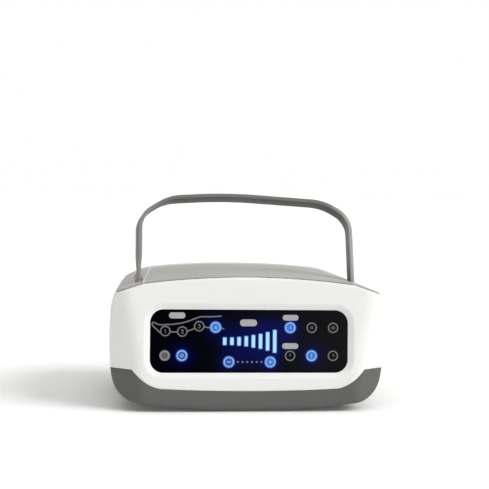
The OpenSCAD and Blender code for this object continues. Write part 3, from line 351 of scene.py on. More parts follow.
def fuseGlass():
    finish = Finish("fuseGlass", {"IOR": 1.47, "Transmission Weight": 0.85})
    smears = finish.noise(300.0)
    haze = finish.spread(smears, 0, 1)
    finish.drive("Base Color", finish.mixed(haze, (0.9, 0.92, 0.92), (0.84, 0.87, 0.87)))
    finish.drive("Roughness", finish.spread(smears, 0.03, 0.12))


openFoam()
woundCopper()
circuitBoard()
sleevedPart()
fuseGlass()

# Finish of each CAD node by its slot in the record
slotFinishes = {
    "shell_white": "whiteShell", "shell_grey": "greyTop", "shell_dark": "darkSkirt",
    "window_black": "blackFitting", "print_grey": "innerMoulding", "lit_blue": "innerMoulding",
    "handle_grey": "handleBand", "steel": "brightSteel", "inner_plastic": "innerMoulding",
    "rubber": "footRubber", "silicone": "siliconeTube", "rear_dark": "rearTextured",
    "foam": "openFoam", "black_plastic": "blackFitting", "clear_glass": "fuseGlass",
    "copper": "woundCopper", "board_green": "circuitBoard", "board_parts": "sleevedPart",
    "alloy": "castAlloy",
}
print("finishes ready:", len(finishes))


# Case outlines
def roundedCorners(corners, steps=10):
    # Each corner is x, y and the radius that rounds it
    points = []
    for i, (x, y, radius) in enumerate(corners):
        here = np.array([x, y], float)
        before = np.array(corners[i - 1][:2], float) - here
        after = np.array(corners[(i + 1) % len(corners)][:2], float) - here
        u = before / np.linalg.norm(before)
        v = after / np.linalg.norm(after)
        half = math.acos(max(-1.0, min(1.0, float(u @ v)))) / 2
        if radius == 0 or half > math.radians(89.5):
            points.append(here)
            continue
        middle = here + (u + v) / np.linalg.norm(u + v) * radius / math.sin(half)
        start = here + u * radius / math.tan(half) - middle
        stop = here + v * radius / math.tan(half) - middle
        first = math.atan2(start[1], start[0])
        turn = (math.atan2(stop[1], stop[0]) - first + 3 * math.pi) % (2 * math.pi) - math.pi
        for k in range(steps + 1):
            angle = first + turn * k / steps
            points.append(middle + radius * np.array([math.cos(angle), math.sin(angle)]))
    return np.array(points)


class OutlineMap:
    # Signed distance to a closed outline, kept on a one-millimetre grid
    def __init__(self, points):
        border = 30
        self.low = np.floor(points.min(0)) - border
        count = (np.ceil(points.max(0)) + border - self.low).astype(int) + 1
        gx, gy = np.meshgrid(*[self.low[k] + np.arange(count[k]) for k in (0, 1)], indexing="ij")
        best = np.full(gx.shape, 1e9)
        inside = np.zeros(gx.shape, bool)
        for a, b in zip(points, np.roll(points, -1, 0)):
            ex, ey = b - a
            wx, wy = gx - a[0], gy - a[1]
            along = np.clip((wx * ex + wy * ey) / (ex * ex + ey * ey + 1e-12), 0, 1)
            best = np.minimum(best, (wx - along * ex) ** 2 + (wy - along * ey) ** 2)
            if a[1] != b[1]:
                inside ^= ((a[1] > gy) != (b[1] > gy)) & (gx < ex * (gy - a[1]) / ey + a[0])
        self.values = np.where(inside, -1, 1) * np.sqrt(best)

    def at(self, x, y):
        u = np.clip(x - self.low[0], 0, self.values.shape[0] - 1.001)
        v = np.clip(y - self.low[1], 0, self.values.shape[1] - 1.001)
        i, j = u.astype(int), v.astype(int)
        s, t = u - i, v - j
        grid = self.values
        near = grid[i, j] * (1 - s) + grid[i + 1, j] * s
        far = grid[i, j + 1] * (1 - s) + grid[i + 1, j + 1] * s
        return near * (1 - t) + far * t


def caseOutlines():
    c = caseSizes
    widest, shoulder, height = c["widestUp"], c["shoulderUp"], c["height"]
    cornerUp = c["baseLift"] + c["baseRise"]
    right = [
        (c["baseFlat"] / 2, c["baseLift"], 100),
        (halfWide - 7.7, cornerUp, c["baseRound"]),
        (halfWide - 1.4, (cornerUp + widest) / 2, 60),
        (halfWide, widest, 120),
        (halfWide - 1.4, (widest + shoulder) / 2 + 3, 25),
        (halfWide - c["shoulderIn"], shoulder, 8)]
    for i in range(12):
        x = c["creaseX"] * (1 - i / 12)
        right.append((x, height - c["crownDrop"] * (x / c["creaseX"]) ** 2, 30 if i == 0 else 0))
    front = right + [(0, height, 0)] + [(-x, y, r) for x, y, r in reversed(right)]
    plan = [
        (c["creaseX"], frontY, 16),
        (halfWide + 1, frontY + c["cheekSweep"], 10),
        (halfWide - c["waistIn"], -5, 200),
        (halfWide - c["rearIn"], rearY, 38)]
    plan = plan + [(-x, y, r) for x, y, r in reversed(plan)]
    side = [
        (frontY, c["baseLift"], 8),
        (rearY, c["baseLift"], 8),
        (rearY, height - 1, c["rearRound"]),
        (faceY(height + 0.6), height + 0.6, 5),
        (frontY, c["skirtUp"], 20)]
    return [OutlineMap(roundedCorners(outline)) for outline in (front, plan, side)]


def faceY(up):
    return frontY + np.maximum(0, up - caseSizes["skirtUp"]) * leanSlope


def smoothStep(t):
    t = np.clip(t, 0, 1)
    return t * t * (3 - 2 * t)


def softMax(a, b, soft):
    lap = np.maximum(soft - np.abs(a - b), 0) / soft
    return np.maximum(a, b) + lap * lap * soft / 4


frontMap, planMap, sideMap = caseOutlines()


def drawnIn(x, y):
    # The sides draw in behind the face, so x grows there before it meets the front outline
    c, away = caseSizes, np.abs(x)
    behind = y - frontY - c["drawFrom"]
    behind = (behind + np.sqrt(behind * behind + c["drawSoft"] ** 2)) / 2
    return away * math.cos(taperAngle) + behind * math.sin(taperAngle) * smoothStep(away / c["drawX"])


def caseField(x, y, z):
    upright = softMax(frontMap.at(drawnIn(x, y), z), planMap.at(x, y), caseSizes["uprightSoft"])
    return softMax(upright, sideMap.at(y, z), caseSizes["crownSoft"])


def skirtField(x, z):
    # Height over the edge between the skirt and the fascia, as a true distance
    c = caseSizes
    across = (np.abs(x) - c["skirtLowX"]) / (c["skirtHighX"] - c["skirtLowX"])
    rise = c["skirtSideUp"] - c["skirtUp"] - c["skirtBow"]
    t = np.clip(across, 0, 1)
    bow = c["skirtBow"] * (np.minimum(np.abs(x), c["skirtLowX"]) / c["skirtLowX"]) ** 2
    edge = c["skirtUp"] + bow + rise * t * t
    slope = rise * 2 * t * (across < 1) / (c["skirtHighX"] - c["skirtLowX"])
    return (z - edge) / np.sqrt(1 + slope * slope)


def fasciaField(x, y, z):
    # Positive on the fascia: in front of its rear edge, over the skirt and below the cover's front lip
    c = caseSizes
    behind = y - (frontY + (z - c["skirtUp"]) * leanSlope + c["fasciaDeep"])
    ends = np.minimum(c["fasciaLipEnd"] - np.abs(x), z - c["fasciaLipLow"])
    lip = np.minimum(frontMap.at(drawnIn(x, y), z) + c["fasciaLip"], ends)
    return np.minimum(np.minimum(-behind, skirtField(x, z)), -lip)


# Mesh tools
def caseSkin():
    # A fine box grid pushed out from the middle of the case onto its smooth form
    middle = np.array([0, 0, caseSizes["skinHalfUp"]])
    half = np.array([halfWide, rearY, caseSizes["skinHalfUp"]])
    counts = (150, 104, 84)
    corners = {}
    points = []
    faces = []

    def corner(spot):
        key = tuple(np.round(spot, 4))
        if key not in corners:
            corners[key] = len(points)
            points.append(spot)
        return corners[key]

    for axis in range(3):
        u, v = [k for k in range(3) if k != axis]
        for side in (-1, 1):
            grid = np.zeros((counts[u] + 1, counts[v] + 1), int)
            for i, j in np.ndindex(grid.shape):
                spot = np.zeros(3)
                spot[axis], spot[u], spot[v] = side, 2 * i / counts[u] - 1, 2 * j / counts[v] - 1
                grid[i, j] = corner(spot)
            outward = (side > 0) == (axis != 1)
            for i, j in np.ndindex(counts[u], counts[v]):
                ring = [grid[i, j], grid[i + 1, j], grid[i + 1, j + 1], grid[i, j + 1]]
                faces.append(ring if outward else ring[::-1])
    way = np.array(points) * half
    near = np.full(len(way), 0.5)
    far = np.full(len(way), 1.3)
    for _ in range(24):
        mid = (near + far) / 2
        spot = middle + way * mid[:, None]
        outside = caseField(spot[:, 0], spot[:, 1], spot[:, 2]) > 0
        far = np.where(outside, mid, far)
        near = np.where(outside, near, mid)
    spots = middle + way * ((near + far) / 2)[:, None]
    bm = bmesh.new()
    verts = [bm.verts.new(spot) for spot in spots]
    for ring in faces:
        bm.faces.new([verts[k] for k in ring])
    bm.normal_update()
    return bm


def cutAlong(bm, field, allowed=None):
    # Adds edges where the field is zero
    bm.verts.index_update()
    spots = np.array([v.co for v in bm.verts])
    value = field(spots[:, 0], spots[:, 1], spots[:, 2])
    value = np.where(np.abs(value) < 1e-5, 1e-5, value)
    ends = np.array([(e.verts[0].index, e.verts[1].index) for e in bm.edges])
    crossing = value[ends[:, 0]] * value[ends[:, 1]] < 0
    if allowed is not None:
        fits = allowed(spots[:, 0], spots[:, 1], spots[:, 2])
        crossing &= fits[ends[:, 0]] & fits[ends[:, 1]]
    picked = np.flatnonzero(crossing)
    if not len(picked):
        return
    a, b = spots[ends[picked, 0]], spots[ends[picked, 1]]
    low, high = np.zeros(len(picked)), np.ones(len(picked))
    startSign = np.sign(value[ends[picked, 0]])
    for _ in range(14):
        mid = (low + high) / 2
        spot = a + (b - a) * mid[:, None]
        same = np.sign(field(spot[:, 0], spot[:, 1], spot[:, 2])) == startSign
        low = np.where(same, mid, low)
        high = np.where(same, high, mid)
    bm.edges.ensure_lookup_table()
    bm.verts.ensure_lookup_table()
    jobs = [(bm.edges[i], bm.verts[ends[i, 0]], float(t)) for i, t in zip(picked, (low + high) / 2)]
    fresh = set()
    for edge, vert, t in jobs:
        fresh.add(bmesh.utils.edge_split(edge, vert, min(0.995, max(0.005, t)))[1])
    touched = {f for v in fresh for f in v.link_faces}
    for face in touched:
        splitBetween(face, fresh)


def splitBetween(face, fresh):
    stack = [face]
    while stack:
        piece = stack.pop()
        ring = list(piece.verts)
        spots = [i for i, v in enumerate(ring) if v in fresh]
        for first, second in zip(spots, spots[1:] + spots[:1]):
            gap = (second - first) % len(ring)
            if 1 < gap < len(ring) - 1:
                other = bmesh.utils.face_split(piece, ring[first], ring[second])[0]
                if len(spots) > 3:
                    stack += [piece, other]
                break


def dropWhere(bm, test):
    centres = np.array([f.calc_center_median() for f in bm.faces])
    picked = test(centres[:, 0], centres[:, 1], centres[:, 2])
    faces = [f for f, chosen in zip(bm.faces, picked) if chosen]
    bmesh.ops.delete(bm, geom=faces, context="FACES")


def sinkEdges(bm, edges, moves):
    # Extrudes an open edge once for each move; a move takes the edge's first places and returns new ones
    first = {v: v.co.copy() for e in edges for v in e.verts}
    for move in moves:
        made = bmesh.ops.extrude_edge_only(bm, edges=edges)["geom"]
        verts = [g for g in made if isinstance(g, bmesh.types.BMVert)]
        fresh = set(verts)
        for v in verts:
            source = next(e.other_vert(v) for e in v.link_edges if e.other_vert(v) not in fresh)
            first[v] = first[source]
        spots = move(np.array([first[v] for v in verts]))
        for v, spot in zip(verts, spots):
            v.co = spot
        edges = [g for g in made if isinstance(g, bmesh.types.BMEdge) and fresh.issuperset(g.verts)]
    return edges


def openEdges(bm, test):
    edges = [e for e in bm.edges if e.is_boundary]
    middles = np.array([(e.verts[0].co + e.verts[1].co) / 2 for e in edges])
    picked = test(middles[:, 0], middles[:, 1], middles[:, 2])
    return [e for e, chosen in zip(edges, picked) if chosen]


def cutHole(bm, field, near, rim):
    # Opens the skin where the field is below zero, with edges for a rim, and returns the hole's edges
    cutAlong(bm, lambda x, y, z: field(x, y, z) - rim, near)
    cutAlong(bm, field, near)
    dropWhere(bm, lambda x, y, z: (field(x, y, z) < 0) & near(x, y, z))
    return openEdges(bm, lambda x, y, z: (field(x, y, z) < 0.5) & near(x, y, z))


def boxField(u, v, halfU, halfV, radius):
    # Signed distance to a rectangle with round corners
    du = np.abs(u) - (halfU - radius)
    dv = np.abs(v) - (halfV - radius)
    outer = np.sqrt(np.maximum(du, 0) ** 2 + np.maximum(dv, 0) ** 2)
    return outer + np.minimum(np.maximum(du, dv), 0) - radius


def boxOutward(u, v, halfU, halfV, radius):
    # Direction straight away from that rectangle's edge
    du = np.abs(u) - (halfU - radius)
    dv = np.abs(v) - (halfV - radius)
    corner = (du > 0) & (dv > 0)
    length = np.sqrt(du * du + dv * dv) + 1e-9
    outU = np.where(corner, du / length, (du > dv).astype(float)) * np.sign(u)
    outV = np.where(corner, dv / length, (du <= dv).astype(float)) * np.sign(v)
    return outU, outV


def joinRings(bm, rings):
    # Faces between closed rings of as many vertices
    for first, second in zip(rings, rings[1:]):
        for i in range(len(first)):
            j = (i + 1) % len(first)
            bm.faces.new([first[i], first[j], second[j], second[i]])


def finishedPiece(bm, name, finishName, body, nodes=(), smooth=True, wall=0):
    for v in bm.verts:
        v.co *= milli
    mesh = bpy.data.meshes.new(name)
    bm.to_mesh(mesh)
    bm.free()
    if smooth:
        mesh.polygons.foreach_set("use_smooth", [True] * len(mesh.polygons))
    mesh.materials.append(finishes[finishName])
    piece = bpy.data.objects.new(name, mesh)
    bpy.context.scene.collection.objects.link(piece)
    if wall:
        shell = piece.modifiers.new("wall", "SOLIDIFY")
        shell.thickness = wall * milli
        shell.offset = -1
    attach(piece, body)
    if nodes:
        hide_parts(*nodes)


def soften(piece, width):
    bevel = piece.modifiers.new("softEdges", "BEVEL")
    bevel.width = width * milli
    bevel.segments = 2
    bevel.limit_method = "ANGLE"
    bevel.angle_limit = math.radians(35)


# Face frame: across, up the leaning face, and out of it
windowSizes = {
    "middleUp": 70.0, "width": 196.6, "height": 62.0, "round": 13.0, "thick": 2.6, "edgeSoft": 0.5,
    "dishRim": 6.5, "dishDeep": 2.4,
}
faceOrigin = np.array([0, float(faceY(windowSizes["middleUp"])), windowSizes["middleUp"]])
faceUp = np.array([0, math.sin(leanAngle), math.cos(leanAngle)])
faceOut = np.array([0, -math.cos(leanAngle), math.sin(leanAngle)])


def toFace(spots):
    offset = spots - faceOrigin
    return offset[:, 0], offset @ faceUp, offset @ faceOut


def fromFace(u, v, out):
    spots = faceOrigin + np.outer(v, faceUp) + np.outer(out, faceOut)
    spots[:, 0] += u
    return spots


# Shells
outletSizes = {"middleY": 12.0, "middleUp": 53.0, "halfLong": 28.4, "halfHigh": 14.2, "round": 6.0}
wellSizes = {
    "middleX": 109.45, "halfWide": 3.85, "frontY": -58.0, "rearY": 30.0, "round": 2.2, "floor": 100.5,
    "rampY": -42.0, "rampLong": 70.0, "rampTop": 121.7, "lowestTop": 108.0,
}
rearSizes = {"middleUp": 52.0, "halfWide": 80.0, "halfHigh": 38.0, "round": 6.0}
boreSizes = {"x": 93.0, "ys": (-49.0, 72.0), "radius": 4.2, "deep": 12.0}


def pushLips(bm):
    # The open edges of a shell turn in a little, so that two shells meet in a soft groove
    bm.normal_update()
    for v in [v for v in bm.verts if v.is_boundary]:
        v.co -= v.normal * caseSizes["lipDeep"]


def partShells():
    skin = caseSkin()
    print("case skin:", len(skin.faces), "faces")
    gap, lip = caseSizes["seamHalf"], caseSizes["lipWide"]
    for level in (gap, -gap, lip, -lip):
        cutAlong(skin, lambda x, y, z: fasciaField(x, y, z) - level)
    coverUp = caseSizes["coverUp"]

    def behindFascia(x, y, z):
        return fasciaField(x, y, z) < 0.1

    for level in (gap, -gap, lip, -lip):
        cutAlong(skin, lambda x, y, z: z - coverUp - level, behindFascia)
    fascia, cover, lower = skin, skin.copy(), skin.copy()
    dropWhere(fascia, lambda x, y, z: fasciaField(x, y, z) < gap)
    dropWhere(cover, lambda x, y, z: (fasciaField(x, y, z) > -gap) | (z < coverUp + gap))
    dropWhere(lower, lambda x, y, z: (fasciaField(x, y, z) > -gap) | (z > coverUp - gap))
    for shell in (fascia, cover, lower):
        pushLips(shell)
    return fascia, cover, lower


def makeFascia(bm):
    w = windowSizes
    halfU, halfV, radius = [size + w["dishRim"] for size in (w["width"] / 2, w["height"] / 2, w["round"])]

    def dish(x, y, z):
        u, v, _ = toFace(np.stack([x, y, z], 1))
        return boxField(u, v, halfU, halfV, radius)

    edges = cutHole(bm, dish, lambda x, y, z: y < -60, 0.9)

    def ring(inward, down):
        def move(first):
            u, v, out = toFace(first)
            du, dv = boxOutward(u, v, halfU, halfV, radius)
            keep = max(0.0, 1 - inward / 4)
            return fromFace(u - du * inward, v - dv * inward, out * keep - down)
        return move

    profile = [(0.5, 0.06), (1.1, 0.22), (1.9, 0.52), (3.0, 0.98), (4.2, 1.48), (5.2, 1.86), (5.9, 2.08),
               (6.25, 2.2), (6.4, 2.4), (6.4, 3.2), (6.4, 5.2), (10.0, 5.3)]
    sinkEdges(bm, edges, [ring(inward, down) for inward, down in profile])
    finishedPiece(bm, "frontFascia", "whiteShell", "case", ["front_fascia"], wall=wall)


def makeCover(bm):
    w = wellSizes
    middleY, halfLong = (w["frontY"] + w["rearY"]) / 2, (w["rearY"] - w["frontY"]) / 2

    def well(x, y, z):
        return boxField(np.abs(x) - w["middleX"], y - middleY, w["halfWide"], halfLong, w["round"])

    edges = cutHole(bm, well, lambda x, y, z: z > w["lowestTop"], 0.8)

    def floorUp(y):
        ramp = w["floor"] + (y - w["rampY"]) * (w["rampTop"] - w["floor"]) / w["rampLong"]
        return np.where(y < w["rampY"], w["floor"], ramp)

    def ring(inward, share, drop):
        def move(first):
            side = np.sign(first[:, 0])
            across = np.abs(first[:, 0]) - w["middleX"]
            du, dv = boxOutward(across, first[:, 1] - middleY, w["halfWide"], halfLong, w["round"])
            x = side * (np.abs(first[:, 0]) - du * inward)
            y = first[:, 1] - dv * inward
            bottom = np.minimum(floorUp(y), first[:, 2] - 1.5)
            z = (first[:, 2] - drop) * (1 - share) + bottom * share
            return np.stack([x, y, z], 1)
        return move

    profile = [(0.2, 0, 0.1), (0.38, 0, 0.4), (0.4, 0, 1.0), (0.4, 0.5, 1.0), (0.4, 1, 0)]
    last = sinkEdges(bm, edges, [ring(*step) for step in profile])
    for side in (-1, 1):
        bmesh.ops.triangle_fill(bm, use_beauty=True, edges=[e for e in last if e.verts[0].co.x * side > 0])
    finishedPiece(bm, "topCover", "greyTop", "case", ["top_cover"], wall=wall)


def makeLower(bm):
    o, r, b = outletSizes, rearSizes, boreSizes

    def outlet(x, y, z):
        return boxField(y - o["middleY"], z - o["middleUp"], o["halfLong"], o["halfHigh"], o["round"])

    def rear(x, y, z):
        return boxField(x, z - r["middleUp"], r["halfWide"], r["halfHigh"], r["round"])

    def bore(x, y, z):
        away = [np.hypot(np.abs(x) - b["x"], y - boreY) for boreY in b["ys"]]
        return np.minimum(away[0], away[1]) - b["radius"]

    def sunk(axis, deep):
        def move(first):
            spots = first.copy()
            spots[:, axis] += deep * (-np.sign(first[:, 0]), -1, 1)[axis]
            return spots
        return move

    # The holes in the sides, in the rear and in the floor, with the depths of their rims' steps
    holes = [
        (outlet, lambda x, y, z: (np.abs(x) > 100) & (np.abs(y) < 60), (0.25, 0.7, 3.0)),
        (rear, lambda x, y, z: y > 80, (0.25, 0.7, 3.0)),
        (bore, lambda x, y, z: (z < 9) & (np.abs(x) < 110), (0.3, 0.8, b["deep"]))]
    for axis, (field, near, depths) in enumerate(holes):
        sinkEdges(bm, cutHole(bm, field, near, 0.7), [sunk(axis, deep) for deep in depths])
    finishedPiece(bm, "lowerHousing", "darkSkirt", "case", ["lower_housing"], wall=wall)


fasciaSkin, coverSkin, lowerSkin = partShells()
makeFascia(fasciaSkin)
makeCover(coverSkin)
makeLower(lowerSkin)
print("shells made")


# Control window and its signs
def slabMesh(outlines, low, high, soft=0.0):
    # Flat shapes on the face, each with a slightly rounded upper edge
    bm = bmesh.new()
    for points in outlines:
        points = np.array(points, float)
        levels = [(0, low), (0, high - soft)]
        if soft:
            levels += [(soft * 0.3, high - soft * 0.3), (soft, high)]
        ahead = np.roll(points, -1, 0) - points
        behind = points - np.roll(points, 1, 0)
        normal = ahead / (np.linalg.norm(ahead, axis=1)[:, None] + 1e-9)
        normal = normal + behind / (np.linalg.norm(behind, axis=1)[:, None] + 1e-9)
        normal = np.stack([-normal[:, 1], normal[:, 0]], 1)
        normal /= np.linalg.norm(normal, axis=1)[:, None] + 1e-9
        rings = []
        for inset, out in levels:
            spots = points + normal * inset
            placed = fromFace(spots[:, 0], spots[:, 1], np.full(len(spots), out))
            rings.append([bm.verts.new(spot) for spot in placed])
        joinRings(bm, rings)
        bm.faces.new(rings[-1])
        bm.faces.new(rings[0][::-1])
    return bm


def roundBox(x, y, width, height, radius, steps=8):
    halfU, halfV = width / 2, height / 2
    corners = [(x + halfU, y - halfV, radius), (x + halfU, y + halfV, radius),
               (x - halfU, y + halfV, radius), (x - halfU, y - halfV, radius)]
    return roundedCorners(corners, steps)


def disc(x, y, radius, steps=40):
    return [(x + radius * math.cos(2 * math.pi * i / steps), y + radius * math.sin(2 * math.pi * i / steps))
            for i in range(steps)]


def stroke(points, width):
    # A drawn line with round ends, as one outline
    points = np.array(points, float)
    ahead = np.diff(points, axis=0)
    ahead /= np.linalg.norm(ahead, axis=1)[:, None] + 1e-9
    along = np.vstack([ahead[:1], ahead[:-1] + ahead[1:], ahead[-1:]])
    along /= np.linalg.norm(along, axis=1)[:, None] + 1e-9
    across = np.stack([-along[:, 1], along[:, 0]], 1) * width / 2
    right = list(points - across)
    left = list((points + across)[::-1])

    def cap(middle, heading):
        start = math.atan2(heading[1], heading[0]) - math.pi / 2
        angles = [start + math.pi * k / 6 for k in range(1, 6)]
        return [middle + width / 2 * np.array([math.cos(angle), math.sin(angle)]) for angle in angles]

    return right + cap(points[-1], along[-1]) + left + cap(points[0], -along[0])


def ringMesh(spots, outer, inner, low, high):
    bm = bmesh.new()
    steps = 48
    for x, y in spots:
        loops = []
        for radius, out in ((outer, low), (outer, high), (inner, high), (inner, low)):
            points = np.array(disc(x, y, radius, steps))
            placed = fromFace(points[:, 0], points[:, 1], np.full(steps, out))
            loops.append([bm.verts.new(spot) for spot in placed])
        joinRings(bm, loops)
    return bm


# Places across and up from the middle of the window
signSizes = {
    "keyRadius": 5.2, "ringLine": 1.2, "litLine": 1.35, "high": 0.16, "legLine": 1.25, "dotRadius": 1.0,
    "stopLine": 2.3, "barHalo": 1.5, "keyHalo": 1.0,
    "programKeys": [(-83.5, 9.8), (-66.8, 9.4), (-50.2, 14.7), (-34.0, 13.7)],
    "powerKeys": [(-83.8, -14.1), (-67.0, -14.1)],
    "levelKeys": [(-20.6, -20.4), (20.6, -20.4)],
    "modeKeys": [(40.3, 13.6), (61.9, 13.6), (83.4, 13.6)],
    "timeKeys": [(40.3, -14.2), (61.9, -14.2), (83.4, -14.2)],
    "barPitch": 7.1, "barWidth": 3.05, "barHeights": [6.9, 6.9, 7.9, 9.4, 11.8, 14.0, 17.6, 22.0],
    "labels": [(-72.0, 25.2, 16.2, 6.0), (-1.4, 18.2, 16.9, 6.7),
               (40.6, 23.4, 15.8, 5.7), (40.4, -4.6, 16.2, 5.7)],
    "dotPitch": 4.66, "dotUp": -20.4,
}
litPlain = [signSizes["programKeys"][3], signSizes["levelKeys"][1]]
litDeep = [signSizes["powerKeys"][1], signSizes["levelKeys"][0]]
litSky = [signSizes["modeKeys"][0], signSizes["timeKeys"][1]]
litKeys = litPlain + litDeep + litSky
unlitKeys = (signSizes["programKeys"][:3] + signSizes["modeKeys"][1:] +
             [signSizes["timeKeys"][0], signSizes["timeKeys"][2]])


# Each pool of blue light behind the window: across, up, width, height and strength
glowSizes = {
    "keyReach": 9.5, "keyLight": 0.95, "most": 1.15,
    "pools": [(6, 1, 34, 19, 0.95), (20, 2, 15, 22, 0.55), (2, -20, 24, 8, 0.3)],
}


def windowGlass():
    # Black polished panel; the deep-blue spill round the lit signs comes from their places
    finish = Finish("windowGlass", {"Specular IOR Level": 0.0, "Emission Strength": 1.0})
    across, _, height = finish.parts()
    up = (height - windowSizes["middleUp"] * milli) * (1 / math.cos(leanAngle))
    glow = 0.0
    for x, y in litKeys:
        du = across - x * milli
        dv = up - y * milli
        away = (du * du + dv * dv) * (1 / (glowSizes["keyReach"] * milli) ** 2)
        glow = finish.bell(away) * glowSizes["keyLight"] + glow
    for x, y, wide, tall, light in glowSizes["pools"]:
        du = (across - x * milli) * (1 / (wide * milli))
        dv = (up - y * milli) * (1 / (tall * milli))
        away = du * du + dv * dv
        glow = finish.bell(away * away) * light + glow
    grain = finish.noise(700.0, 2.0)
    glow = finish.maths("MINIMUM", glow * finish.spread(grain, 0.86, 1.1), glowSizes["most"])
    finish.drive("Emission Color", finish.mixed(glow, (0.0004, 0.0004, 0.0012), (0.0004, 0.0022, 0.066)))
    # Painted reflection: the black panel's colour grows lighter towards the right
    right = finish.between(across, 0, 1, (-60, 100))
    finish.drive("Base Color", finish.mixed(right, (0.0008, 0.0007, 0.0016), (0.0085, 0.0085, 0.0095)))
    finish.drive("Roughness", finish.spread(grain, 0.16, 0.22))


def litFinish(name, colour, edge):
    # A sign lit from behind: a touch uneven, as through diffusing film
    finish = Finish(name, {"Emission Strength": 1.0, "Base Color": (0.05, 0.06, 0.1, 1), "Roughness": 0.35,
                           "Specular IOR Level": 0.2})
    uneven = finish.noise(520.0, 2.0)
    finish.drive("Emission Color", finish.mixed(finish.spread(uneven, 0, 1), colour, edge))


def printFinish(name, colour, darker):
    finish = Finish(name, {"Specular IOR Level": 0.25})
    uneven = finish.noise(900.0, 3.0)
    finish.drive("Base Color", finish.mixed(finish.spread(uneven, 0, 1), colour, darker))
    finish.drive("Roughness", finish.spread(uneven, 0.4, 0.55))
    finish.bumped(uneven, 0.1, 0.00003)


litLooks = {
    "barLight": ((0.46, 0.77, 0.97), (0.34, 0.67, 0.94)),
    "ringLight": ((0.16, 0.42, 0.87), (0.12, 0.35, 0.82)),
    "barHalo": ((0.012, 0.13, 0.55), (0.008, 0.1, 0.5)),
    "ringHalo": ((0.003, 0.02, 0.21), (0.002, 0.014, 0.17)),
    "skyCentre": ((0.006, 0.13, 0.52), (0.004, 0.1, 0.45)),
    "deepCentre": ((0.002, 0.018, 0.26), (0.0015, 0.013, 0.2)),
    "glyphLight": ((0.20, 0.56, 0.92), (0.16, 0.48, 0.86)),
}
printLooks = {
    "signPrint": ((0.18, 0.18, 0.18), (0.145, 0.145, 0.145)),
    "keyPrint": ((0.25, 0.25, 0.245), (0.21, 0.21, 0.205)),
    "labelPrint": ((0.43, 0.425, 0.43), (0.36, 0.355, 0.36)),
    "glyphDark": ((0.02, 0.02, 0.02), (0.015, 0.015, 0.015)),
}
windowGlass()
for litName, litLook in litLooks.items():
    litFinish(litName, *litLook)
for printName, printLook in printLooks.items():
    printFinish(printName, *printLook)

# Plain numbers as drawn lines in a box of one by one and a half
digitLines = {
    1: [[(-0.22, 0.42), (0.06, 0.7), (0.06, -0.7)]],
    2: [[(-0.4, 0.35), (-0.33, 0.58), (-0.1, 0.71), (0.15, 0.7), (0.37, 0.52), (0.38, 0.25), (0.22, 0.0),
         (-0.42, -0.68), (0.44, -0.68)]],
    3: [[(-0.38, 0.5), (-0.15, 0.7), (0.15, 0.7), (0.37, 0.5), (0.33, 0.2), (0.0, 0.05)],
        [(0.0, 0.05), (0.35, -0.12), (0.42, -0.42), (0.2, -0.67), (-0.12, -0.7), (-0.4, -0.48)]],
    4: [[(0.2, -0.7), (0.2, 0.7), (-0.45, -0.25), (0.48, -0.25)]],
}


def glyph(lines, x, y, size, width):
    return [stroke([(x + u * size, y + v * size) for u, v in line], width) for line in lines]


panelUp = -windowSizes["dishDeep"]
signUp = panelUp + signSizes["high"]
signFoot = panelUp - 0.05


def addSign(bm, name, finishName, nodes):
    finishedPiece(bm, name, finishName, "case", nodes, smooth=False)


def flatSign(name, finishName, outlines, top=signUp, nodes=(), soft=0.0):
    addSign(slabMesh(outlines, signFoot, top, soft), name, finishName, nodes)


def ringSign(name, finishName, spots, outer, inner, nodes=()):
    addSign(ringMesh(spots, outer, inner, signFoot, signUp), name, finishName, nodes)


def makeWindow():
    s, w = signSizes, windowSizes
    outline = roundBox(0, 0, w["width"], w["height"], w["round"], 14)
    plate = slabMesh([outline], panelUp - w["thick"], panelUp, w["edgeSoft"])
    finishedPiece(plate, "controlWindow", "windowGlass", "case", ["control_window"], False)
    radius, stopKey, haloUp = s["keyRadius"], s["powerKeys"][0], panelUp + 0.05
    ringSign("keyRings", "signPrint", unlitKeys, radius, radius - s["ringLine"], ["key_rings"])
    ringSign("litRings", "ringLight", litKeys, radius + 0.1, radius - s["litLine"], ["key_signs"])
    ringSign("stopRing", "keyPrint", [stopKey], radius, radius - s["stopLine"])

    def discs(spots, size):
        return [disc(x, y, size) for x, y in spots]

    core = radius - s["litLine"] - 0.02
    flatSign("skyCentres", "skyCentre", discs(litPlain + litSky, core), signUp - 0.04)
    flatSign("deepCentres", "deepCentre", discs(litDeep, core), signUp - 0.04)
    flatSign("stopCentre", "glyphDark", discs([stopKey], radius - s["stopLine"] + 0.02), signUp - 0.03)

    def bars(wider, taller, corner, steps):
        return [roundBox((i - 3.5) * s["barPitch"], 0, s["barWidth"] + wider, tall + taller, corner, steps)
                for i, tall in enumerate(s["barHeights"])]

    flatSign("levelBars", "barLight", bars(0, 0, 0.5, 3), signUp + 0.04, ["level_bars"])
    flatSign("barHalos", "barHalo", bars(s["barHalo"], s["barHalo"] + 0.1, 1.1, 4), haloUp)
    flatSign("ringHalos", "ringHalo", discs(litKeys, radius + s["keyHalo"]), haloUp)
    pills = [roundBox(x, y, wide, tall, tall / 2 - 0.05, 10) for x, y, wide, tall in s["labels"]]
    flatSign("labelPills", "labelPrint", pills, signUp, ["label_plates"], 0.08)
    dots = [disc((i - 2.5) * s["dotPitch"], s["dotUp"], s["dotRadius"], 16) for i in range(6)]
    flatSign("levelDots", "signPrint", dots)
    makeLegSign()
    makeGlyphs()


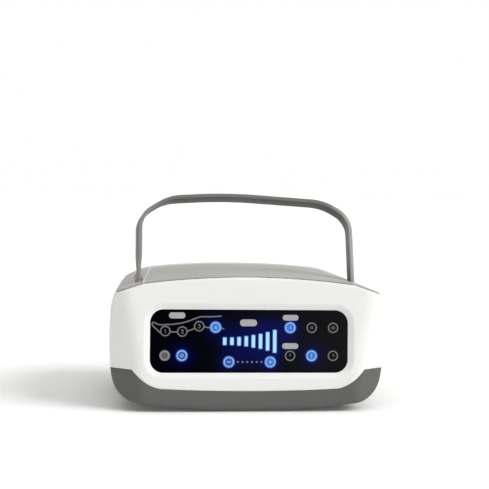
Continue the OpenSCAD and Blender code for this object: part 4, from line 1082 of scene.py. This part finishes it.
def curveThrough(points, steps=6):
    # Smooth line through the points
    points = np.array(points, float)
    padded = np.vstack([2 * points[0] - points[1], points, 2 * points[-1] - points[-2]])
    line = []
    for i in range(1, len(padded) - 2):
        a, b, c, d = padded[i - 1:i + 3]
        for k in range(steps):
            t = k / steps
            bend = (2 * a - 5 * b + 4 * c - d) * t * t + (3 * b - a - 3 * c + d) * t ** 3
            line.append(0.5 * ((2 * b) + (c - a) * t + bend))
    line.append(points[-1])
    return np.array(line)


def makeLegSign():
    upper = curveThrough([(-95.2, 18.7), (-89.5, 16.1), (-82.4, 16.2), (-75.3, 16.6), (-65.9, 18.2),
                          (-58.8, 20.4), (-50.3, 23.6), (-44.7, 24.1), (-37.6, 24.1), (-28.6, 24.7)])
    toe = curveThrough([(-95.2, 18.7), (-96.3, 17.2), (-95.6, 14.8), (-92.4, 11.9), (-88.9, 8.4)])
    links = [[(-78.1, 9.1), (-75, 8.9), (-72.2, 9.0)], [(-61.6, 9.8), (-58.6, 10.9), (-55.5, 12.2)],
             [(-44.8, 14.1), (-41.8, 13.4), (-39.4, 13.3)], [(-28.6, 13.4), (-26.2, 12.0)]]
    lines = [upper, toe] + [curveThrough(link, 4) for link in links]
    outlines = [stroke(line, signSizes["legLine"]) for line in lines]
    flatSign("legLine", "signPrint", outlines, signUp - 0.02, ["leg_sign"])


def makeGlyphs():
    # Plain marks in place of words: upright bars on the mode keys, clock hands on the time keys
    s = signSizes
    minus, plus = [[(-0.6, 0), (0.6, 0)]], [[(-0.6, 0), (0.6, 0)], [(0, -0.6), (0, 0.6)]]
    turn = np.radians(np.linspace(125, 415, 18))
    arc = [(math.cos(angle) * 0.8, math.sin(angle) * 0.8) for angle in turn]
    power = [arc, [(0, 0.3), (0, 0.95)]]
    threeBars = [[(x, -0.5), (x, 0.5)] for x in (-0.55, 0, 0.55)]
    pale = []
    for number in (1, 2, 3):
        pale += glyph(digitLines[number], *s["programKeys"][number - 1], 2.5, 0.75)
    pale += glyph([[(-0.35, -0.5), (-0.35, 0.5)], [(0.35, -0.5), (0.35, 0.5)]], *s["modeKeys"][1], 2.2, 0.7)
    pale += glyph(threeBars, *s["modeKeys"][2], 2.3, 0.65)
    pale += glyph([[(0, -0.1), (0, 0.75)]], *s["timeKeys"][0], 2.3, 0.8)
    pale += glyph([[(0.7, 0.0), (0, 0), (0, 0.75)]], *s["timeKeys"][2], 2.3, 0.75)
    flatSign("keyGlyphs", "signPrint", pale)
    lit = glyph(digitLines[4], *s["programKeys"][3], 2.4, 0.85)
    lit += glyph([[(0, -0.5), (0, 0.5)]], *s["modeKeys"][0], 2.3, 0.8)
    lit += glyph([[(0.0, -0.65), (0, 0), (0, 0.75)]], *s["timeKeys"][1], 2.2, 0.8)
    lit += glyph(plus, *s["levelKeys"][1], 2.4, 0.8)
    lit += glyph(minus, *s["levelKeys"][0], 2.4, 0.8)
    lit += glyph(power, *s["powerKeys"][1], 1.7, 0.6)
    flatSign("litGlyphs", "glyphLight", lit, signUp + 0.03)
    flatSign("stopGlyph", "keyPrint", glyph(power, *s["powerKeys"][0], 1.9, 0.7), signUp + 0.02)


makeWindow()
print("window and signs made")


# Handle
handleSizes = {
    "wide": 223.4, "reach": 105.6, "topX": -20.0, "corner": 82.0, "cornerRound": 29.0,
    "bendX": 82.0, "bendRound": 52.0, "leftDrop": 4.2, "rightDrop": 6.4, "foot": 9.0,
    "thick": 4.5, "band": 18.0, "edge": 1.0, "crown": 0.35,
    "pivotFront": 46.0, "pivotUp": 112.0, "lean": 20.0, "twist": 8.5, "twistUp": 20.0, "twistX": -68.0,
    "twistFade": (22.0, 26.0), "edgeHighlightFade": (7.8, 8.8), "armHighlightFade": (85.0, 107.0),
}


def handleBand():
    # The front edge is painted paler than the flat sides as a painted highlight, most of all on the two
    # arms; the flat sides are the band's grey kept dark as painted shade
    finish = mouldedPlastic("handleBand", (0.098, 0.096, 0.092), (0.082, 0.08, 0.077), 0.45, 0.14, 0.35)
    plain = finish.colour()
    across, back, up = finish.parts()
    lean = math.radians(handleSizes["lean"])
    ahead = (up - handleSizes["pivotUp"] * milli) * math.sin(lean)
    ahead = ahead - (back + handleSizes["pivotFront"] * milli) * math.cos(lean)
    edge = finish.between(ahead, 0, 1, handleSizes["edgeHighlightFade"])
    arms = finish.between(finish.maths("ABSOLUTE", across), 0, 1, handleSizes["armHighlightFade"])
    # The arms' painted highlight grows brighter towards the right arm, as if lit from the right
    right = finish.between(across, 0, 1, (-100, 100))
    armHighlight = finish.mixed(right, (0.25, 0.245, 0.23), (0.36, 0.355, 0.34))
    pale = finish.mixed(arms, (0.15, 0.148, 0.14), armHighlight)
    finish.drive("Base Color", finish.mixed(edge, plain, pale))


def makeHandle():
    h = handleSizes
    half = h["wide"] / 2
    outer = roundedCorners([
        (-half, -h["foot"], 0), (half, -h["foot"], 0), (half, h["corner"], h["cornerRound"]),
        (h["bendX"], h["reach"] - h["rightDrop"], h["bendRound"]), (h["topX"], h["reach"], 500),
        (-h["bendX"], h["reach"] - h["leftDrop"], h["bendRound"]),
        (-half, h["corner"], h["cornerRound"])], 16)
    # The run of the band starts at the right arm's foot and ends at the left one's
    start = next(i for i, p in enumerate(outer) if p[0] > 0 and p[1] < 0)
    run = np.roll(outer, -start, 0)
    fine = []
    for a, b in zip(run[:-1], run[1:]):
        steps = max(1, int(np.linalg.norm(b - a) / 3))
        fine += [a + (b - a) * k / steps for k in range(steps)]
    fine.append(run[-1])
    fine = np.array([p for p in fine if not (abs(p[0]) < half - 1 and p[1] < 0)])
    lean = math.radians(h["lean"])
    upWay = np.array([0, math.sin(lean), math.cos(lean)])
    frontWay = np.array([0, -math.cos(lean), math.sin(lean)])
    pivot = np.array([0, -h["pivotFront"], h["pivotUp"]])
    ahead = np.gradient(fine, axis=0)
    ahead /= np.linalg.norm(ahead, axis=1)[:, None]
    inside = np.stack([-ahead[:, 1], ahead[:, 0]], 1)
    bm = bmesh.new()
    rings = []
    for place, inWay in zip(fine, inside):
        wide = h["band"] / 2
        if place[1] < 0:
            wide = math.sqrt(max(0.3, wide * wide - place[1] * place[1]))
        edge = min(h["edge"], wide * 0.6)
        section = roundBox(h["thick"] / 2, 0, h["thick"], wide * 2, edge, 5)
        crown = h["crown"] * (1 - (section[:, 1] / wide) ** 2)
        inner = section[:, 0] > h["thick"] / 2
        depth = section[:, 0] + np.where(inner, -crown * 0.4, h["crown"] - crown)
        # The left arm is a little twisted over its well, so its outer side turns to the front
        turn = math.radians(h["twist"]) * smoothStep((place[1] - h["twistUp"]) / h["twistFade"][0])
        turn *= smoothStep((h["twistX"] - place[0]) / h["twistFade"][1])
        turned = depth + section[:, 1] * math.sin(turn)
        outs = section[:, 1] * math.cos(turn)
        ring = []
        for d, out in zip(turned, outs):
            flat = place + inWay * d
            ring.append(bm.verts.new(pivot + np.array([flat[0], 0, 0]) + upWay * flat[1] + frontWay * out))
        rings.append(ring)
    joinRings(bm, rings)
    bm.faces.new(rings[0][::-1])
    bm.faces.new(rings[-1])
    bmesh.ops.recalc_face_normals(bm, faces=bm.faces)
    finishedPiece(bm, "carryHandle", "handleBand", "handle", ["carry_handle"])


handleBand()
makeHandle()
print("handle made")


# Every solid of the frame gets its finish, and some get soft edges
softNodes = {
    "rear_panel": 0.35, "mains_inlet": 0.4, "switch_frame": 0.3, "power_rocker": 0.35, "fuse_drawer": 0.25,
    "left_outlet": 0.4, "right_outlet": 0.4, "feet": 0.5, "fan_rotor": 0.2, "fan_frame": 0.3,
    "rear_screws": 0.25, "inlet_pins": 0.2,
}
recordSlots = {entry["node"]: entry["material_slot"] for entry in frame["record"]["subparts"]}
for nodeName, nodeObject in frame["nodes"].items():
    material = finishes[slotFinishes[recordSlots[nodeName]]]
    if not nodeObject.material_slots:
        nodeObject.data.materials.append(material)
    for materialSlot in nodeObject.material_slots:
        materialSlot.material = material
    if nodeName in softNodes:
        soften(nodeObject, softNodes[nodeName])
print("nodes dressed:", len(recordSlots))
